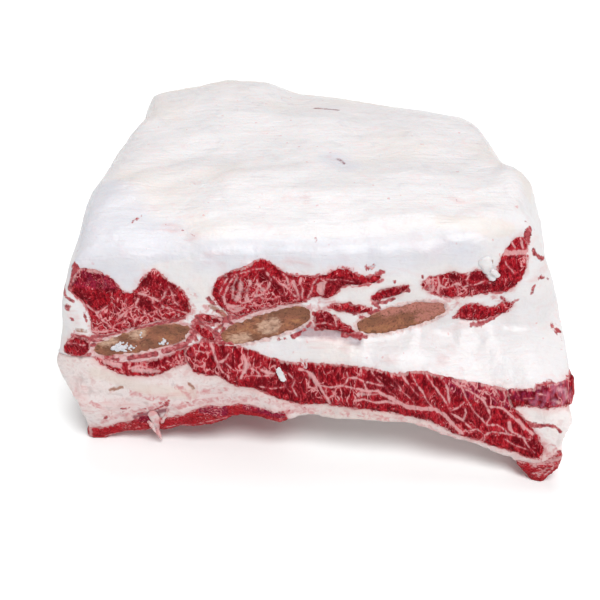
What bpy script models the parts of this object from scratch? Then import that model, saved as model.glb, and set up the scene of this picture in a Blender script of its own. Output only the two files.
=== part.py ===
"""Raw beef short rib rack: a block of ribs, lean and fat with its cut face to the front.

The cut face is drawn once, as outlines in millimetres across (x) and up (z).  Every muscle, rib and
fat layer is its outline carried from the cut face to the back by one shared map, so the pieces lie
side by side with a fine gap and never cross.
"""
import math

import bpy
import numpy as np
from mathutils import Vector
from mathutils.geometry import delaunay_2d_cdt

# ---- sizes, millimetres ------------------------------------------------------------------------
MM = 0.001
GAP = 0.3                   # clear space between neighbouring pieces
DEPTH = 217.0               # cut face to back edge, at the deepest place
BACK_NARROWING = 0.155      # share of the width lost at the back
BACK_SHIFT = -3.5           # the back lies this far to the left
SIDE_BOW = 3.2              # the sides swell by this half way back
CROWN = 6.5                 # the top rises by this half way back
EDGE_ROUND = 3.0            # rounding of the top edges, front and back
BACK_SINK = 0.5             # the back stands this much lower than the front
FLAP_REACH = 34.0           # the lower right flap comes forward by this
RIB_FACE_SETBACK = 8.0      # the right end of the rib row lies this far behind the left
CORNER_SETBACK = 20.0       # rounding of the right front corner
SHOULDER_SETBACK = 12.0     # the upper right of the face leans back by this
TOP_LUMPS = 1.7             # unevenness of the fat cover
# how far each top side edge stands out (+) or in (-), at shares of the way to the back
LEFT_EDGE = ((0.0, 0.0), (0.13, 0.3), (0.32, 2.0), (0.56, -1.5), (0.79, -8.0), (1.0, 0.0))
RIGHT_EDGE = ((0.0, 0.0), (0.13, -4.0), (0.32, 4.0), (0.44, -2.0), (0.56, -2.0), (0.79, 0.0), (1.0, 3.0))
SIDE_LUMPS = 1.8            # unevenness of the two sides
BELLY_LUMPS = 1.6           # unevenness of the underside
FACE_RELIEF = 0.9           # unevenness of the cut face
FOOT_FLAT_LEFT = (-110.8, -104.6)   # the strips that touch the ground, from x to x
FOOT_FLAT_RIGHT = (104.2, 108.4)

OUTER_STATIONS = (0.0, 0.018, 0.06, 0.13, 0.22, 0.32, 0.44, 0.56, 0.68, 0.79, 0.9, 0.965, 1.0)
INNER_STATIONS = (0.0, 0.13, 0.32, 0.56, 0.79, 1.0)
BASE_STATIONS = (0.0, 0.13, 0.3, 0.47, 0.64, 0.82, 1.0)
DIAGONAL_RULE = np.array([1.0, 0.37])

# ---- materials: slot -> (red, green, blue), roughness ------------------------------------------
MATERIALS = {
    "cover_fat": ((0.90, 0.86, 0.84), 0.42),
    "base_fat": ((0.86, 0.78, 0.74), 0.42),
    "upper_lean": ((0.42, 0.03, 0.04), 0.34),
    "lower_lean": ((0.38, 0.025, 0.035), 0.34),
    "rib_bone": ((0.30, 0.20, 0.12), 0.55),
    "skirt_lean": ((0.45, 0.04, 0.04), 0.34),
}


def soft(t):
    """Smooth step from 0 to 1."""
    t = np.clip(t, 0.0, 1.0)
    return t * t * (3.0 - 2.0 * t)


# ---- the map from the drawn section to space ---------------------------------------------------
def ripple(u, v, size, seed):
    """Even, repeatable unevenness between about -1 and 1, from crossing waves of one size."""
    total = 0.0
    for k in range(5):
        turn = seed + 1.2566 * k * 1.37
        pitch = 2.0 * math.pi / (size * (1.0 + 0.31 * ((k * 2) % 5)))
        total = total + np.sin(pitch * (u * math.cos(turn) + v * math.sin(turn)) + 2.1 * k + seed)
    return total / 3.0


def front_depth(x, z):
    """How far back the cut face lies at a place of the section."""
    set_back = RIB_FACE_SETBACK * soft((x - 10) / 90)
    shoulder = SHOULDER_SETBACK * soft((x - 72) / 28) * soft((z - 80) / 28)
    corner = CORNER_SETBACK * np.clip((x - 98) / 24, 0, 1.5) ** 2 * soft((z - 25) / 30)
    left_corner = 5 * np.clip((-108 - x) / 14, 0, 1.2) ** 2
    shelf_top = 56 + 8 * soft((x + 30) / 35) + 5 * soft((x - 60) / 45)
    shelf_foot = 52 - 6 * soft((x - 45) / 40)
    reach = FLAP_REACH * np.clip((x + 60) / 172, 0, 1.1) ** 1.4
    flap = reach * soft((shelf_top - z) / np.maximum(shelf_top - shelf_foot, 4))
    tuck = 5 * soft((24 - z) / 24) * soft((-50 - x) / 50)
    droop = 5 * soft((shelf_foot - z) / 40) * soft((x - 20) / 80)
    top_edge = 5 * soft((z - 97) / 12) * soft((90 - x) / 30)
    relief = FACE_RELIEF * ripple(x, z, 15.0, 0.4) * soft((z - 1.0) / 8)
    return set_back + shoulder + corner + left_corner - flap + tuck - droop + top_edge + relief


def back_depth(x, z):
    """How far back the rear face lies at a place of the section."""
    edge = DEPTH - 18 * np.abs((x + 55) / 80) ** 1.5 - 20 * np.clip((x - 97) / 14, 0, 1.25) ** 2
    belly = 6 * np.sin(np.pi * np.clip(z / 104, 0, 1))
    return edge - 6 + belly + FACE_RELIEF * ripple(x, z, 17.0, 2.3)


def place(x, z, w):
    """Point in space of section place (x, z), carried the share w of the way to the back."""
    x, z, w = (np.asarray(v, float) for v in (x, z, w))
    across = x * (1 - BACK_NARROWING * w) + BACK_SHIFT * w
    side = np.sign(x) * soft((np.abs(x) - 82) / 26) * soft((z - 52) / 20)
    bow = np.where(x > 0, 1.0, 0.5) * SIDE_BOW * np.sin(np.pi * w)
    across = across + side * (bow - 1.3 * np.exp(-w / 0.02) - 2.2 * np.exp(-(1 - w) / 0.03))
    out_left, out_right = (np.interp(w, *zip(*edge)) for edge in (LEFT_EDGE, RIGHT_EDGE))
    across = across + (out_right * soft((x - 60) / 45) - out_left * soft((-60 - x) / 45)) * soft((z - 55) / 35)
    depth = front_depth(x, z) * (1 - w) + back_depth(x, z) * w
    rise = CROWN * (1 - np.abs(2 * w - 1) ** 3) - BACK_SINK * w
    rise = rise - EDGE_ROUND * (np.exp(-w / 0.02) + 1.4 * np.exp(-(1 - w) / 0.03) - 1)
    upper = soft((z - 60) / 40)
    lumps = TOP_LUMPS * ripple(across, depth, 38.0, 1.1) * soft((z - 88) / 16) * np.sin(np.pi * w) ** 0.5
    wander = np.sin(np.pi * w) ** 0.5
    flank = np.sign(x) * soft((np.abs(x) - 102) / 14) * soft((z - 1) / 10)
    across = across + SIDE_LUMPS * flank * ripple(z * 2.0, depth, 52.0, 0.9) * wander
    belly = BELLY_LUMPS * ripple(x * 0.8, depth, 60.0, 2.6) * soft((z - 2) / 8) * soft((34 - z) / 16) * wander
    height = z * (1 - 0.03 * w) + rise * upper + lumps + belly
    return np.stack([across, depth, height], -1)


# ---- outlines ----------------------------------------------------------------------------------
def smooth_line(points, spacing, closed):
    """Points along a smooth curve through the given ones, spaced about evenly."""
    p = np.asarray(points, float)
    n = len(p)
    dense = []
    for i in range(n if closed else n - 1):
        if closed:
            a, b, c, d = p[i - 1], p[i], p[(i + 1) % n], p[(i + 2) % n]
        else:
            a, b, c, d = p[max(i - 1, 0)], p[i], p[i + 1], p[min(i + 2, n - 1)]
        for t in np.linspace(0, 1, 12, endpoint=False):
            dense.append(0.5 * (2 * b + (c - a) * t + (2 * a - 5 * b + 4 * c - d) * t ** 2
                                + (3 * b - a - 3 * c + d) * t ** 3))
    dense.append(p[0] if closed else p[-1])
    dense = np.array(dense)
    along = np.concatenate([[0], np.cumsum(np.linalg.norm(np.diff(dense, axis=0), axis=1))])
    count = max(int(round(along[-1] / spacing)), 3)
    at = np.linspace(0, along[-1], count + 1)
    line = np.stack([np.interp(at, along, dense[:, k]) for k in range(2)], -1)
    return line[:-1] if closed else line


def lens(centre, length, thickness, tilt, blunt=0.75, bend=0.0, count=20):
    """Outline of a flat oval piece such as a sawn rib: tilt in degrees, bend lifts its middle."""
    turn = math.radians(tilt)
    loop = []
    for k in range(count):
        a = 2 * math.pi * k / count
        u = 0.5 * length * math.copysign(abs(math.cos(a)) ** 0.9, math.cos(a))
        v = 0.5 * thickness * math.copysign(abs(math.sin(a)) ** (1.75 - blunt), math.sin(a))
        v += bend * (1 - (2 * u / length) ** 2)
        loop.append((centre[0] + u * math.cos(turn) - v * math.sin(turn),
                     centre[1] + u * math.sin(turn) + v * math.cos(turn)))
    return np.array(loop)


def signed_area(loop):
    """Area of a loop, positive when it runs anticlockwise."""
    x, z = loop[:, 0], loop[:, 1]
    return 0.5 * float(np.sum(x * np.roll(z, -1) - np.roll(x, -1) * z))


def grown(loop, by):
    """The loop moved outward by a distance, inward when the distance is negative."""
    before, after = np.roll(loop, 1, axis=0), np.roll(loop, -1, axis=0)
    first, second = loop - before, after - loop
    first /= np.linalg.norm(first, axis=1)[:, None]
    second /= np.linalg.norm(second, axis=1)[:, None]
    mean = first + second
    mean /= np.linalg.norm(mean, axis=1)[:, None]
    out = np.stack([mean[:, 1], -mean[:, 0]], -1) * (1 if signed_area(loop) > 0 else -1)
    spread = np.clip(np.sum(mean * second, axis=1), 0.5, 1.0)
    return loop + out * (by / spread)[:, None]


def inside(points, loop):
    """Which of the points lie within the loop."""
    x, z = points[:, 0][:, None], points[:, 1][:, None]
    x0, z0 = loop[:, 0][None], loop[:, 1][None]
    x1, z1 = np.roll(loop, -1, axis=0).T
    rising = (z0 > z) != (z1[None] > z)
    run = np.where(z1 == z0[0], 1e-9, z1 - z0[0])[None]
    crosses = rising & (x < (x1[None] - x0) * (z - z0) / run + x0)
    return np.sum(crosses, axis=1) % 2 == 1


def clear_of(points, loop, distance):
    """Which of the points keep a distance from the loop's line."""
    a, b = loop, np.roll(loop, -1, axis=0)
    d = b - a
    t = np.clip(np.einsum("pij,ij->pi", points[:, None] - a[None], d) / np.sum(d * d, axis=1), 0, 1)
    nearest = a[None] + t[..., None] * d[None]
    return np.min(np.linalg.norm(points[:, None] - nearest, axis=2), axis=1) > distance


# ---- seams of the cut face: lines that two neighbours share, left to right unless said ----------
TOP_SILHOUETTE = [(-122.5, 50), (-120.5, 61), (-118, 75), (-115.5, 88), (-112, 97), (-106, 102.5),
                  (-85, 104.5), (-45, 106), (0, 107), (45, 107.5), (82, 108), (100, 107.6), (107.5, 100.5),
                  (112.5, 87), (117, 74), (120, 61), (120.8, 48.8)]
FLANK_TOP = [(90, 45.6), (97, 46.4), (103, 47.4), (108, 48.8), (113, 47.4), (120.8, 48.8)]
LOWER_LEAN_TOP = [(-60.5, 56.2), (-54, 59.2), (-47, 58.4), (-38, 56.6), (-29, 55.2), (-22, 52.6),
                  (-8, 51.4), (8, 52.3), (24, 51.6), (38, 50.2), (50, 51.4), (62, 49.3), (76, 46.4), (90, 45.6)]
UNDER_RIB_TOP = [(-105.5, 51), (-99, 49.2), (-91, 48), (-82, 48.1), (-74, 49.8), (-66, 53.2), (-60.5, 56.2)]
LEFT_SEAM = [(-122.5, 50), (-114, 49.3), (-110, 49.6), (-105.5, 51)]
UNDER_RIB_FOOT = [(-105.5, 51), (-102.5, 47.5), (-96, 42.8), (-88, 39.9), (-76, 40.3), (-68, 44.2), (-60.5, 46.6)]
LOWER_LEAN_FOOT = [(-60.5, 46.6), (-57.5, 42), (-50, 40.8), (-45, 40.8), (-38, 35.6), (-29, 35.2), (-18, 30.6),
                   (-6, 28), (8, 29.3), (28, 29), (48, 26.4), (58, 24), (68, 19.8), (84, 15.8), (98, 13),
                   (106.5, 12), (108.3, 17), (106.8, 22.2), (102.5, 26.4), (98.5, 32), (93, 36.6)]
FLANK_FOOT = [(93, 36.6), (99, 38.6), (105, 38.3), (110, 37.6), (119.6, 37.8)]
RIGHT_SILHOUETTE = [(119.6, 37.8), (121, 33), (118.8, 27), (116.2, 22), (116.4, 18.4)]
SKIRT_RIGHT_TOP = [(95.5, 8.8), (102, 9.2), (107, 10.4), (111, 13.4), (113.4, 17.2), (116.4, 18.4)]
SKIRT_LEFT_END = [(-12, 24.2), (-12.9, 21.4), (-12.6, 18.2)]
STRIP_FOOT = [(-12.6, 18.2), (-8, 19.6), (-2, 21.6), (4, 20.9), (9, 19.4), (14, 21.3), (38, 22.3),
              (52, 20.6), (62, 17.4), (72, 15.4), (86, 11.4), (95.5, 8.8)]
SKIRT_LEFT_TOP = [(-112.4, 5.2), (-106, 6.8), (-97, 9.6), (-89, 12.2), (-83, 17), (-76, 14.4), (-66, 16.4),
                  (-57, 20.4), (-50, 23), (-45, 21.8), (-38, 24.6), (-30, 25), (-20, 22.2), (-12, 24.2)]
LEFT_SILHOUETTE = [(-122.5, 50), (-124.2, 44), (-123.4, 37.5), (-119.5, 30.5), (-115.4, 24.5), (-114, 15),
                   (-112.4, 5.2)]
SKIRT_LEFT_FOOT = [(FOOT_FLAT_LEFT[1], 0), (-100, 2.8), (-92, 5.2), (-82, 6.6), (-74, 7.2), (-65, 10.2), (-52, 12.4), (-44, 15.6), (-37, 18.8),
                   (-28, 19.2), (-18, 17.2), (-12.6, 18.2)]
SKIRT_RIGHT_FOOT = [(95.5, 8.8), (100.5, 4.4), (FOOT_FLAT_RIGHT[0], 0)]
SKIRT_RIGHT_SIDE = [(FOOT_FLAT_RIGHT[1], 0), (111.8, 4.6), (115, 10.5), (116.4, 18.4)]
SKIRT_LEFT_SIDE = [(-112.4, 5.2), (-112.4, 1.8), (FOOT_FLAT_LEFT[0], 0)]
LEAN_BREAK = [(-60.5, 56.2), (-61.4, 51.5), (-60.5, 46.6)]     # where the lean under the rib ends
FLANK_BREAK = [(90, 45.6), (90.6, 41), (93, 36.6)]              # where the flank muscle begins

# ---- muscles of the upper face, each a closed outline -------------------------------------------
LEAN_LEFT = [(-107.8, 97.6), (-101, 96.6), (-92.5, 93.6), (-89, 87.6), (-83.5, 86.4), (-78, 94.5), (-73, 97.8),
             (-67, 92), (-61.5, 89.2), (-57.6, 80), (-59.4, 72.8), (-72, 71), (-86, 67), (-98, 63.6),
             (-104.8, 64.4), (-105, 72), (-108.2, 82), (-112.6, 85.4), (-111.4, 92)]
LEAN_MIDDLE = [(-47, 84), (-45, 92), (-39, 96.6), (-30, 99.4), (-24, 102.3), (-17.5, 99.2), (-12, 95.8),
               (0, 95.2), (9, 97.8), (16.5, 99), (20.6, 94.8), (26, 94.2), (31.5, 96), (30.5, 91.4), (21, 89.8),
               (13.5, 89.2), (7.5, 83.4), (1, 83.6), (-6, 81.2), (-17, 79.6), (-28, 76.2), (-36, 73.4),
               (-42, 77.4)]
LEAN_RIGHT = [(50, 86.5), (50.5, 91.6), (57, 92.6), (63.5, 94), (70, 92.4), (76.6, 94.6), (80.5, 89.2),
              (84.6, 88.4), (84.4, 94.5), (88.5, 101), (94.5, 104.4), (99, 104), (100.6, 99), (100, 93.4), (97, 87),
              (89.5, 81.8), (78, 81.2), (66, 80.6), (57.4, 82.4)]
LEAN_EDGE = [(-118.6, 51.8), (-113, 51.2), (-108, 52.6), (-106.4, 58), (-107.4, 61.6), (-113, 61), (-117, 58)]
INTERCOSTAL_SECOND = [(0.4, 75), (4, 76.2), (9.5, 74), (14, 69), (18.4, 66.8), (18, 63.4), (13.6, 64.4),
                      (8, 65.8), (2, 66.6), (0.2, 70.4)]
LEAN_STRIP_RIGHT = [(66.5, 70.4), (71, 76.2), (76.5, 76), (84, 73), (88.6, 76.6), (94.4, 75.4), (93.8, 72.2),
                    (87, 69.4), (79, 67.6), (73, 67.4)]


def seam(points, spacing=5.0):
    """A shared line of the section."""
    return smooth_line(points, spacing, False)


def joined(*lines):
    """One closed loop from lines that follow each other, end to start."""
    return np.concatenate([line[:-1] for line in lines])


def cap_faces(loops, lattice):
    """Triangles that fill the first loop but not the others, with added points on a lattice."""
    outer, holes = loops[0], loops[1:]
    low, high = outer.min(axis=0), outer.max(axis=0)
    extra = []
    rows = int((high[1] - low[1]) / (lattice * 0.87)) + 1
    columns = int((high[0] - low[0]) / lattice) + 1
    for r in range(rows):
        for c in range(columns):
            extra.append((low[0] + lattice * (c + 0.5 * (r % 2)), low[1] + lattice * 0.87 * (r + 0.5)))
    extra = np.array(extra)
    keep = inside(extra, outer) & clear_of(extra, outer, 0.45 * lattice)
    for hole in holes:
        keep &= ~inside(extra, hole) & clear_of(extra, hole, 0.45 * lattice)
    extra = extra[keep]
    points = np.concatenate(list(loops) + [extra])
    edges, start = [], 0
    for loop in loops:
        n = len(loop)
        edges += [(start + k, start + (k + 1) % n) for k in range(n)]
        start += n
    result = delaunay_2d_cdt([Vector(p) for p in points], edges, [], 0, 1e-5)
    found, source = np.array([tuple(v) for v in result[0]]), result[3]
    rename = [ids[0] for ids in source]
    triangles = [[rename[i] for i in face] for face in result[2]]
    centres = np.array([points[t].mean(axis=0) for t in triangles])
    fill = inside(centres, outer)
    for hole in holes:
        fill &= ~inside(centres, hole)
    flat = [t for t, wanted in zip(triangles, fill) if wanted]
    turned = []
    for a, b, c in flat:
        u, v = points[b] - points[a], points[c] - points[a]
        turned.append((a, b, c) if u[0] * v[1] - u[1] * v[0] > 0 else (a, c, b))
    assert len(found) == len(points)
    return extra, turned


def swept_node(name, slot, loop, stations, lattice, holes=()):
    """One closed solid: a loop, less its holes, carried from the cut face to the back."""
    loops = [loop if signed_area(loop) > 0 else loop[::-1]]
    loops += [hole if signed_area(hole) > 0 else hole[::-1] for hole in holes]
    extra, triangles = cap_faces(loops, lattice)
    rim = np.concatenate(loops)
    count = len(rim)
    vertices, faces = [], []
    levels = [stations] + [INNER_STATIONS] * (len(loops) - 1)
    # the rim points of the first and the last station come first, then the lattice points of both
    for w in (0.0, 1.0):
        vertices += list(place(rim[:, 0], rim[:, 1], w))
    for w in (0.0, 1.0):
        if len(extra):
            vertices += list(place(extra[:, 0], extra[:, 1], w))
    lattice_start = 2 * count

    def cap_index(i, back):
        if i < count:
            return i + (count if back else 0)
        return lattice_start + (i - count) + (len(extra) if back else 0)

    for a, b, c in triangles:
        faces.append([cap_index(i, False) for i in (a, b, c)])
        faces.append([cap_index(i, True) for i in (c, b, a)])
    start = 0
    for number, (one, levels_here) in enumerate(zip(loops, levels)):
        n = len(one)
        rows = [[start + k for k in range(n)]]
        for w in levels_here[1:-1]:
            rows.append([len(vertices) + k for k in range(n)])
            vertices += list(place(one[:, 0], one[:, 1], w))
        rows.append([count + start + k for k in range(n)])
        for near, far in zip(rows, rows[1:]):
            for k in range(n):
                after = (k + 1) % n
                # neighbours cut their shared walls along the same diagonal
                if one[k] @ DIAGONAL_RULE < one[after] @ DIAGONAL_RULE:
                    pair = [(near[k], far[k], far[after]), (near[k], far[after], near[after])]
                else:
                    pair = [(near[k], far[k], near[after]), (far[k], far[after], near[after])]
                faces += [face if number == 0 else face[::-1] for face in pair]
        start += n
    mesh = bpy.data.meshes.new(name)
    mesh.from_pydata([tuple(np.array(v) * MM) for v in vertices], [], faces)
    mesh.validate()
    mesh.materials.append(material(slot))
    made = bpy.data.objects.new(name, mesh)
    bpy.context.scene.collection.objects.link(made)
    return made


def material(slot):
    """The Principled material of a slot, made once."""
    found = bpy.data.materials.get(slot)
    if found:
        return found
    colour, roughness = MATERIALS[slot]
    made = bpy.data.materials.new(slot)
    made.use_nodes = True
    shader = made.node_tree.nodes["Principled BSDF"]
    shader.inputs["Base Color"].default_value = (*colour, 1)
    shader.inputs["Roughness"].default_value = roughness
    return made


def upper_islands():
    """Outlines of the ribs and muscles that lie inside the fat cap: name -> (slot, loop)."""
    return {
        "rib_left": ("rib_bone", lens((-81.0, 60.0), 49.0, 13.0, 14.5, 0.95)),
        "rib_middle": ("rib_bone", lens((-22.5, 68.0), 45.0, 14.2, 19.0, 0.95)),
        "rib_right": ("rib_bone", lens((41.0, 71.2), 43.5, 13.4, 11.5, 0.95)),
        "lean_left": ("upper_lean", smooth_line(LEAN_LEFT, 4.2, True)),
        "lean_middle": ("upper_lean", smooth_line(LEAN_MIDDLE, 4.0, True)),
        "lean_right": ("upper_lean", smooth_line(LEAN_RIGHT, 3.8, True)),
        "lean_edge": ("upper_lean", smooth_line(LEAN_EDGE, 3.4, True)),
        "intercostal_first": ("upper_lean", lens((-51.2, 64.6), 12.0, 4.6, -46.0, 0.9, count=10)),
        "intercostal_second": ("upper_lean", smooth_line(INTERCOSTAL_SECOND, 4.0, True)),
        "lean_strip_first": ("upper_lean", lens((-48.5, 72.0), 12.0, 3.4, -14.0, 0.9, count=10)),
        "lean_strip_second": ("upper_lean", lens((17.0, 77.6), 20.0, 4.6, -8.0, 0.9, count=12)),
        "lean_strip_third": ("upper_lean", lens((34.6, 85.0), 18.5, 5.2, 20.0, 0.9, count=12)),
        "lean_strip_right": ("upper_lean", smooth_line(LEAN_STRIP_RIGHT, 3.8, True)),
    }


def layers():
    """Outlines of the pieces that share seams: name -> (slot, loop)."""
    top, flank_top, lean_top = seam(TOP_SILHOUETTE, 7.0), seam(FLANK_TOP), seam(LOWER_LEAN_TOP)
    under_top, left_seam = seam(UNDER_RIB_TOP), seam(LEFT_SEAM)
    under_foot, lean_foot = seam(UNDER_RIB_FOOT), seam(LOWER_LEAN_FOOT, 6.0)
    flank_foot, right_side = seam(FLANK_FOOT), seam(RIGHT_SILHOUETTE)
    skirt_right_top, strip_foot = seam(SKIRT_RIGHT_TOP, 4.5), seam(STRIP_FOOT, 6.0)
    skirt_left_top, left_side = seam(SKIRT_LEFT_TOP, 6.0), seam(LEFT_SILHOUETTE)
    skirt_end = seam(SKIRT_LEFT_END, 3.0)
    lean_break, flank_break = seam(LEAN_BREAK), seam(FLANK_BREAK)
    flank_edge = seam([(120.8, 48.8), (121.2, 43), (119.6, 37.8)])
    left_foot, left_toe = seam(SKIRT_LEFT_FOOT, 4.5), seam(SKIRT_LEFT_SIDE, 2.5)
    right_foot, right_toe = seam(SKIRT_RIGHT_FOOT, 3.5), seam(SKIRT_RIGHT_SIDE, 3.5)
    left_under = np.concatenate([left_toe, left_foot[:-1], skirt_end[::-1]])
    right_under = np.concatenate([right_foot, right_toe])
    return {
        "fat_cap": ("cover_fat", joined(top, flank_top[::-1], lean_top[::-1], under_top[::-1], left_seam[::-1])),
        "fat_base": ("base_fat", joined(left_seam, under_foot, lean_foot, flank_foot, right_side,
                                        skirt_right_top[::-1], strip_foot[::-1], skirt_end[::-1], skirt_left_top[::-1],
                                        left_side[::-1])),
        "lean_under_rib": ("lower_lean", joined(under_top, lean_break, under_foot[::-1])),
        "lean_lower": ("lower_lean", joined(lean_top, flank_break, lean_foot[::-1], lean_break[::-1])),
        "lean_flank": ("lower_lean", joined(flank_top, flank_edge, flank_foot[::-1], flank_break[::-1])),
        "skirt_left": ("skirt_lean", joined(skirt_left_top, left_under[::-1])),
        "skirt_right": ("skirt_lean", joined(skirt_right_top, right_under[::-1])),
    }


def build():
    """Make every piece of the rack and stand it on the ground."""
    for old in list(bpy.data.objects):
        bpy.data.objects.remove(old, do_unlink=True)
    islands = upper_islands()
    made = [swept_node(name, slot, loop, INNER_STATIONS, 6.0) for name, (slot, loop) in islands.items()]
    for name, (slot, loop) in layers().items():
        inset = grown(loop, -GAP / 2)
        inset[loop[:, 1] < 0.01, 1] = 0.0           # the feet stay flat on the ground
        if name == "fat_cap":
            tunnels = [grown(island, GAP) for _, island in islands.values()]
            made.append(swept_node(name, slot, inset, OUTER_STATIONS, 8.5, tunnels))
        else:
            levels = OUTER_STATIONS if name == "lean_flank" else BASE_STATIONS
            made.append(swept_node(name, slot, inset, levels, 7.5))

    corners = np.array([v.co for piece in made for v in piece.data.vertices])
    low, high = corners.min(axis=0), corners.max(axis=0)
    shift = Vector((-(low[0] + high[0]) / 2, -(low[1] + high[1]) / 2, -low[2]))
    for piece in made:
        for vertex in piece.data.vertices:
            vertex.co += shift
        piece.data.update()
    return made


if __name__ == "__main__":
    build()
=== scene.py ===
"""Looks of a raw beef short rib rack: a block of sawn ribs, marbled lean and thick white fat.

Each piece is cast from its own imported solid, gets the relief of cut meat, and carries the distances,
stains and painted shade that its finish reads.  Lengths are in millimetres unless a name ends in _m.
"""
import logging
import math
from dataclasses import dataclass
from enum import Enum

import bpy
import numpy as np
from mathutils import Euler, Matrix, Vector, noise
from mathutils.bvhtree import BVHTree


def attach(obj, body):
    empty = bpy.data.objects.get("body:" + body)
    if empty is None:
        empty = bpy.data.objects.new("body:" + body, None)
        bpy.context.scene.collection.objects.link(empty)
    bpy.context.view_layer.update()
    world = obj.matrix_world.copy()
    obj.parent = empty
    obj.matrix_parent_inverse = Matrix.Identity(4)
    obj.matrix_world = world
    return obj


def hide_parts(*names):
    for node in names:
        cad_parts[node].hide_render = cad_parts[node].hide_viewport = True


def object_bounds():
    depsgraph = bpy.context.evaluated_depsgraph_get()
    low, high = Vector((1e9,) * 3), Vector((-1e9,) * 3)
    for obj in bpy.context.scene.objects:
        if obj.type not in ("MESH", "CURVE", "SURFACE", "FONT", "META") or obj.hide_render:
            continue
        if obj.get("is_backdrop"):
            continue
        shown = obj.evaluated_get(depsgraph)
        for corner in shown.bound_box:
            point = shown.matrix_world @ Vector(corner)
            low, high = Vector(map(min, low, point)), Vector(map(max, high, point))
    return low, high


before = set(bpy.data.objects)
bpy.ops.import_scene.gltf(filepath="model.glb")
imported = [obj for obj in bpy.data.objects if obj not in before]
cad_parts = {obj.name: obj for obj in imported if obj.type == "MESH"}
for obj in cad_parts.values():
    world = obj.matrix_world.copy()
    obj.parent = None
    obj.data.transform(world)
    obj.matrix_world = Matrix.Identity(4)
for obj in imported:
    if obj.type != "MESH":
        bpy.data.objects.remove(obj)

CAD_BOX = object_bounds()
MM = 0.001
SECTION_X = 1.467           # where the middle of the drawn section lies, across
SECTION_Y = -92.636         # where the cut face at the first rib lies, front to back
# how the solids carry the drawn section from the cut face to the back
BACK, BACK_ROUND = 211.0, 18.0      # its depth where it is deepest, and what is lost 80 mm beside that
BACK_NARROWING, BACK_SHIFT = 0.155, -3.5    # share of the width lost, and how far the middle moves right
CROWN, BACK_SINK, BACK_LOWER = 6.5, 0.5, 0.03   # rise half way back, sink, and share of the height lost
FAR = 6.0                   # distances to other pieces are measured up to this
Socket = bpy.types.NodeSocket
LOG = logging.getLogger("rib_rack")

RIBS = ("rib_left", "rib_middle", "rib_right")
UPPER_LEAN = ("lean_left", "lean_middle", "lean_right", "lean_edge", "intercostal_first",
              "intercostal_second", "lean_strip_first", "lean_strip_second", "lean_strip_third",
              "lean_strip_right")
LOWER_LEAN = ("lean_under_rib", "lean_lower", "lean_flank")
SKIRTS = ("skirt_left", "skirt_right")


class Plane(Enum):
    """The plane that a drawn mark lies in."""

    CUT = "cut face, across and up"
    TOP = "fat cover, across and back"


@dataclass(frozen=True)
class Stroke:
    """A drawn mark: its path in millimetres and its half width at the start and at the end."""

    path: tuple[tuple[float, float], ...]
    start: float
    end: float
    plane: Plane = Plane.CUT


def drawn(*rows: tuple, plane: Plane = Plane.CUT) -> tuple[Stroke, ...]:
    """Strokes, each given as its half width at the start, its half width at the end, and its path."""
    return tuple(Stroke(tuple(row[2:]), row[0], row[1], plane) for row in rows)


# ---- numbers and sockets -------------------------------------------------------------------------
def linear(code: str) -> tuple[float, float, float, float]:
    """Linear colour of an sRGB hex value."""
    channels = [int(code[i:i + 2], 16) / 255 for i in (1, 3, 5)]
    return tuple(c / 12.92 if c <= 0.04045 else ((c + 0.055) / 1.055) ** 2.4 for c in channels) + (1.0,)


def pitch(size: float) -> float:
    """Scale setting of a pattern whose features measure this many millimetres."""
    return 1.0 / (size * MM)


def soft(t: np.ndarray) -> np.ndarray:
    """Smooth step from 0 to 1."""
    t = np.clip(t, 0.0, 1.0)
    return t * t * (3.0 - 2.0 * t)


def add(tree: bpy.types.NodeTree, kind: str, settings: dict | None = None,
        inputs: dict | None = None) -> bpy.types.Node:
    """Adds one node to a material.

    Args:
        tree: The material's node tree.
        kind: The node's type name.
        settings: Values of the node's own properties.
        inputs: Socket name or number -> a value, or another node's output to link.

    Returns:
        The new node.
    """
    made = tree.nodes.new(kind)
    for key, value in (settings or {}).items():
        setattr(made, key, value)
    for key, value in (inputs or {}).items():
        socket = made.inputs[key]
        if isinstance(value, bpy.types.NodeSocket):
            tree.links.new(value, socket)
        else:
            socket.default_value = value
    return made


# ---- meshes --------------------------------------------------------------------------------------
def take(obj: bpy.types.Object) -> None:
    """Makes one object the only selected one, and active.

    Args:
        obj: The object.
    """
    bpy.ops.object.select_all(action="DESELECT")
    obj.select_set(True)
    bpy.context.view_layer.objects.active = obj


def join(parts: list[bpy.types.Object]) -> bpy.types.Object:
    """Joins objects.

    Args:
        parts: The objects.

    Returns:
        The first one, which now holds them all.
    """
    take(parts[0])
    for part in parts[1:]:
        part.select_set(True)
    if len(parts) > 1:
        bpy.ops.object.join()
    return parts[0]


def apply(obj: bpy.types.Object, kind: str, **settings: object) -> None:
    """Adds a modifier and applies it.

    Args:
        obj: The object.
        kind: The modifier's type.
        settings: Values of its properties.
    """
    take(obj)
    modifier = obj.modifiers.new(kind.lower(), kind)
    for key, value in settings.items():
        setattr(modifier, key, value)
    bpy.ops.object.modifier_apply(modifier=modifier.name)


def vectors(items: bpy.types.bpy_prop_collection, name: str) -> np.ndarray:
    """Reads one vector of each vertex, face or normal of a mesh.

    Args:
        items: The vertices, faces or normals.
        name: The property that holds the vector.

    Returns:
        One row per item.
    """
    found = np.empty(len(items) * 3, np.float32)
    items.foreach_get(name, found)
    return found.reshape(-1, 3).astype(float)


def points_of(obj: bpy.types.Object) -> np.ndarray:
    """Vertex places, in metres."""
    return vectors(obj.data.vertices, "co")


def normals_of(obj: bpy.types.Object) -> np.ndarray:
    """Vertex normals."""
    return vectors(obj.data.vertex_normals, "vector")


def from_section(places: np.ndarray) -> np.ndarray:
    """Places in millimetres, counted from the foot of the drawn section."""
    return places / MM - (SECTION_X, SECTION_Y, 0)


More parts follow.
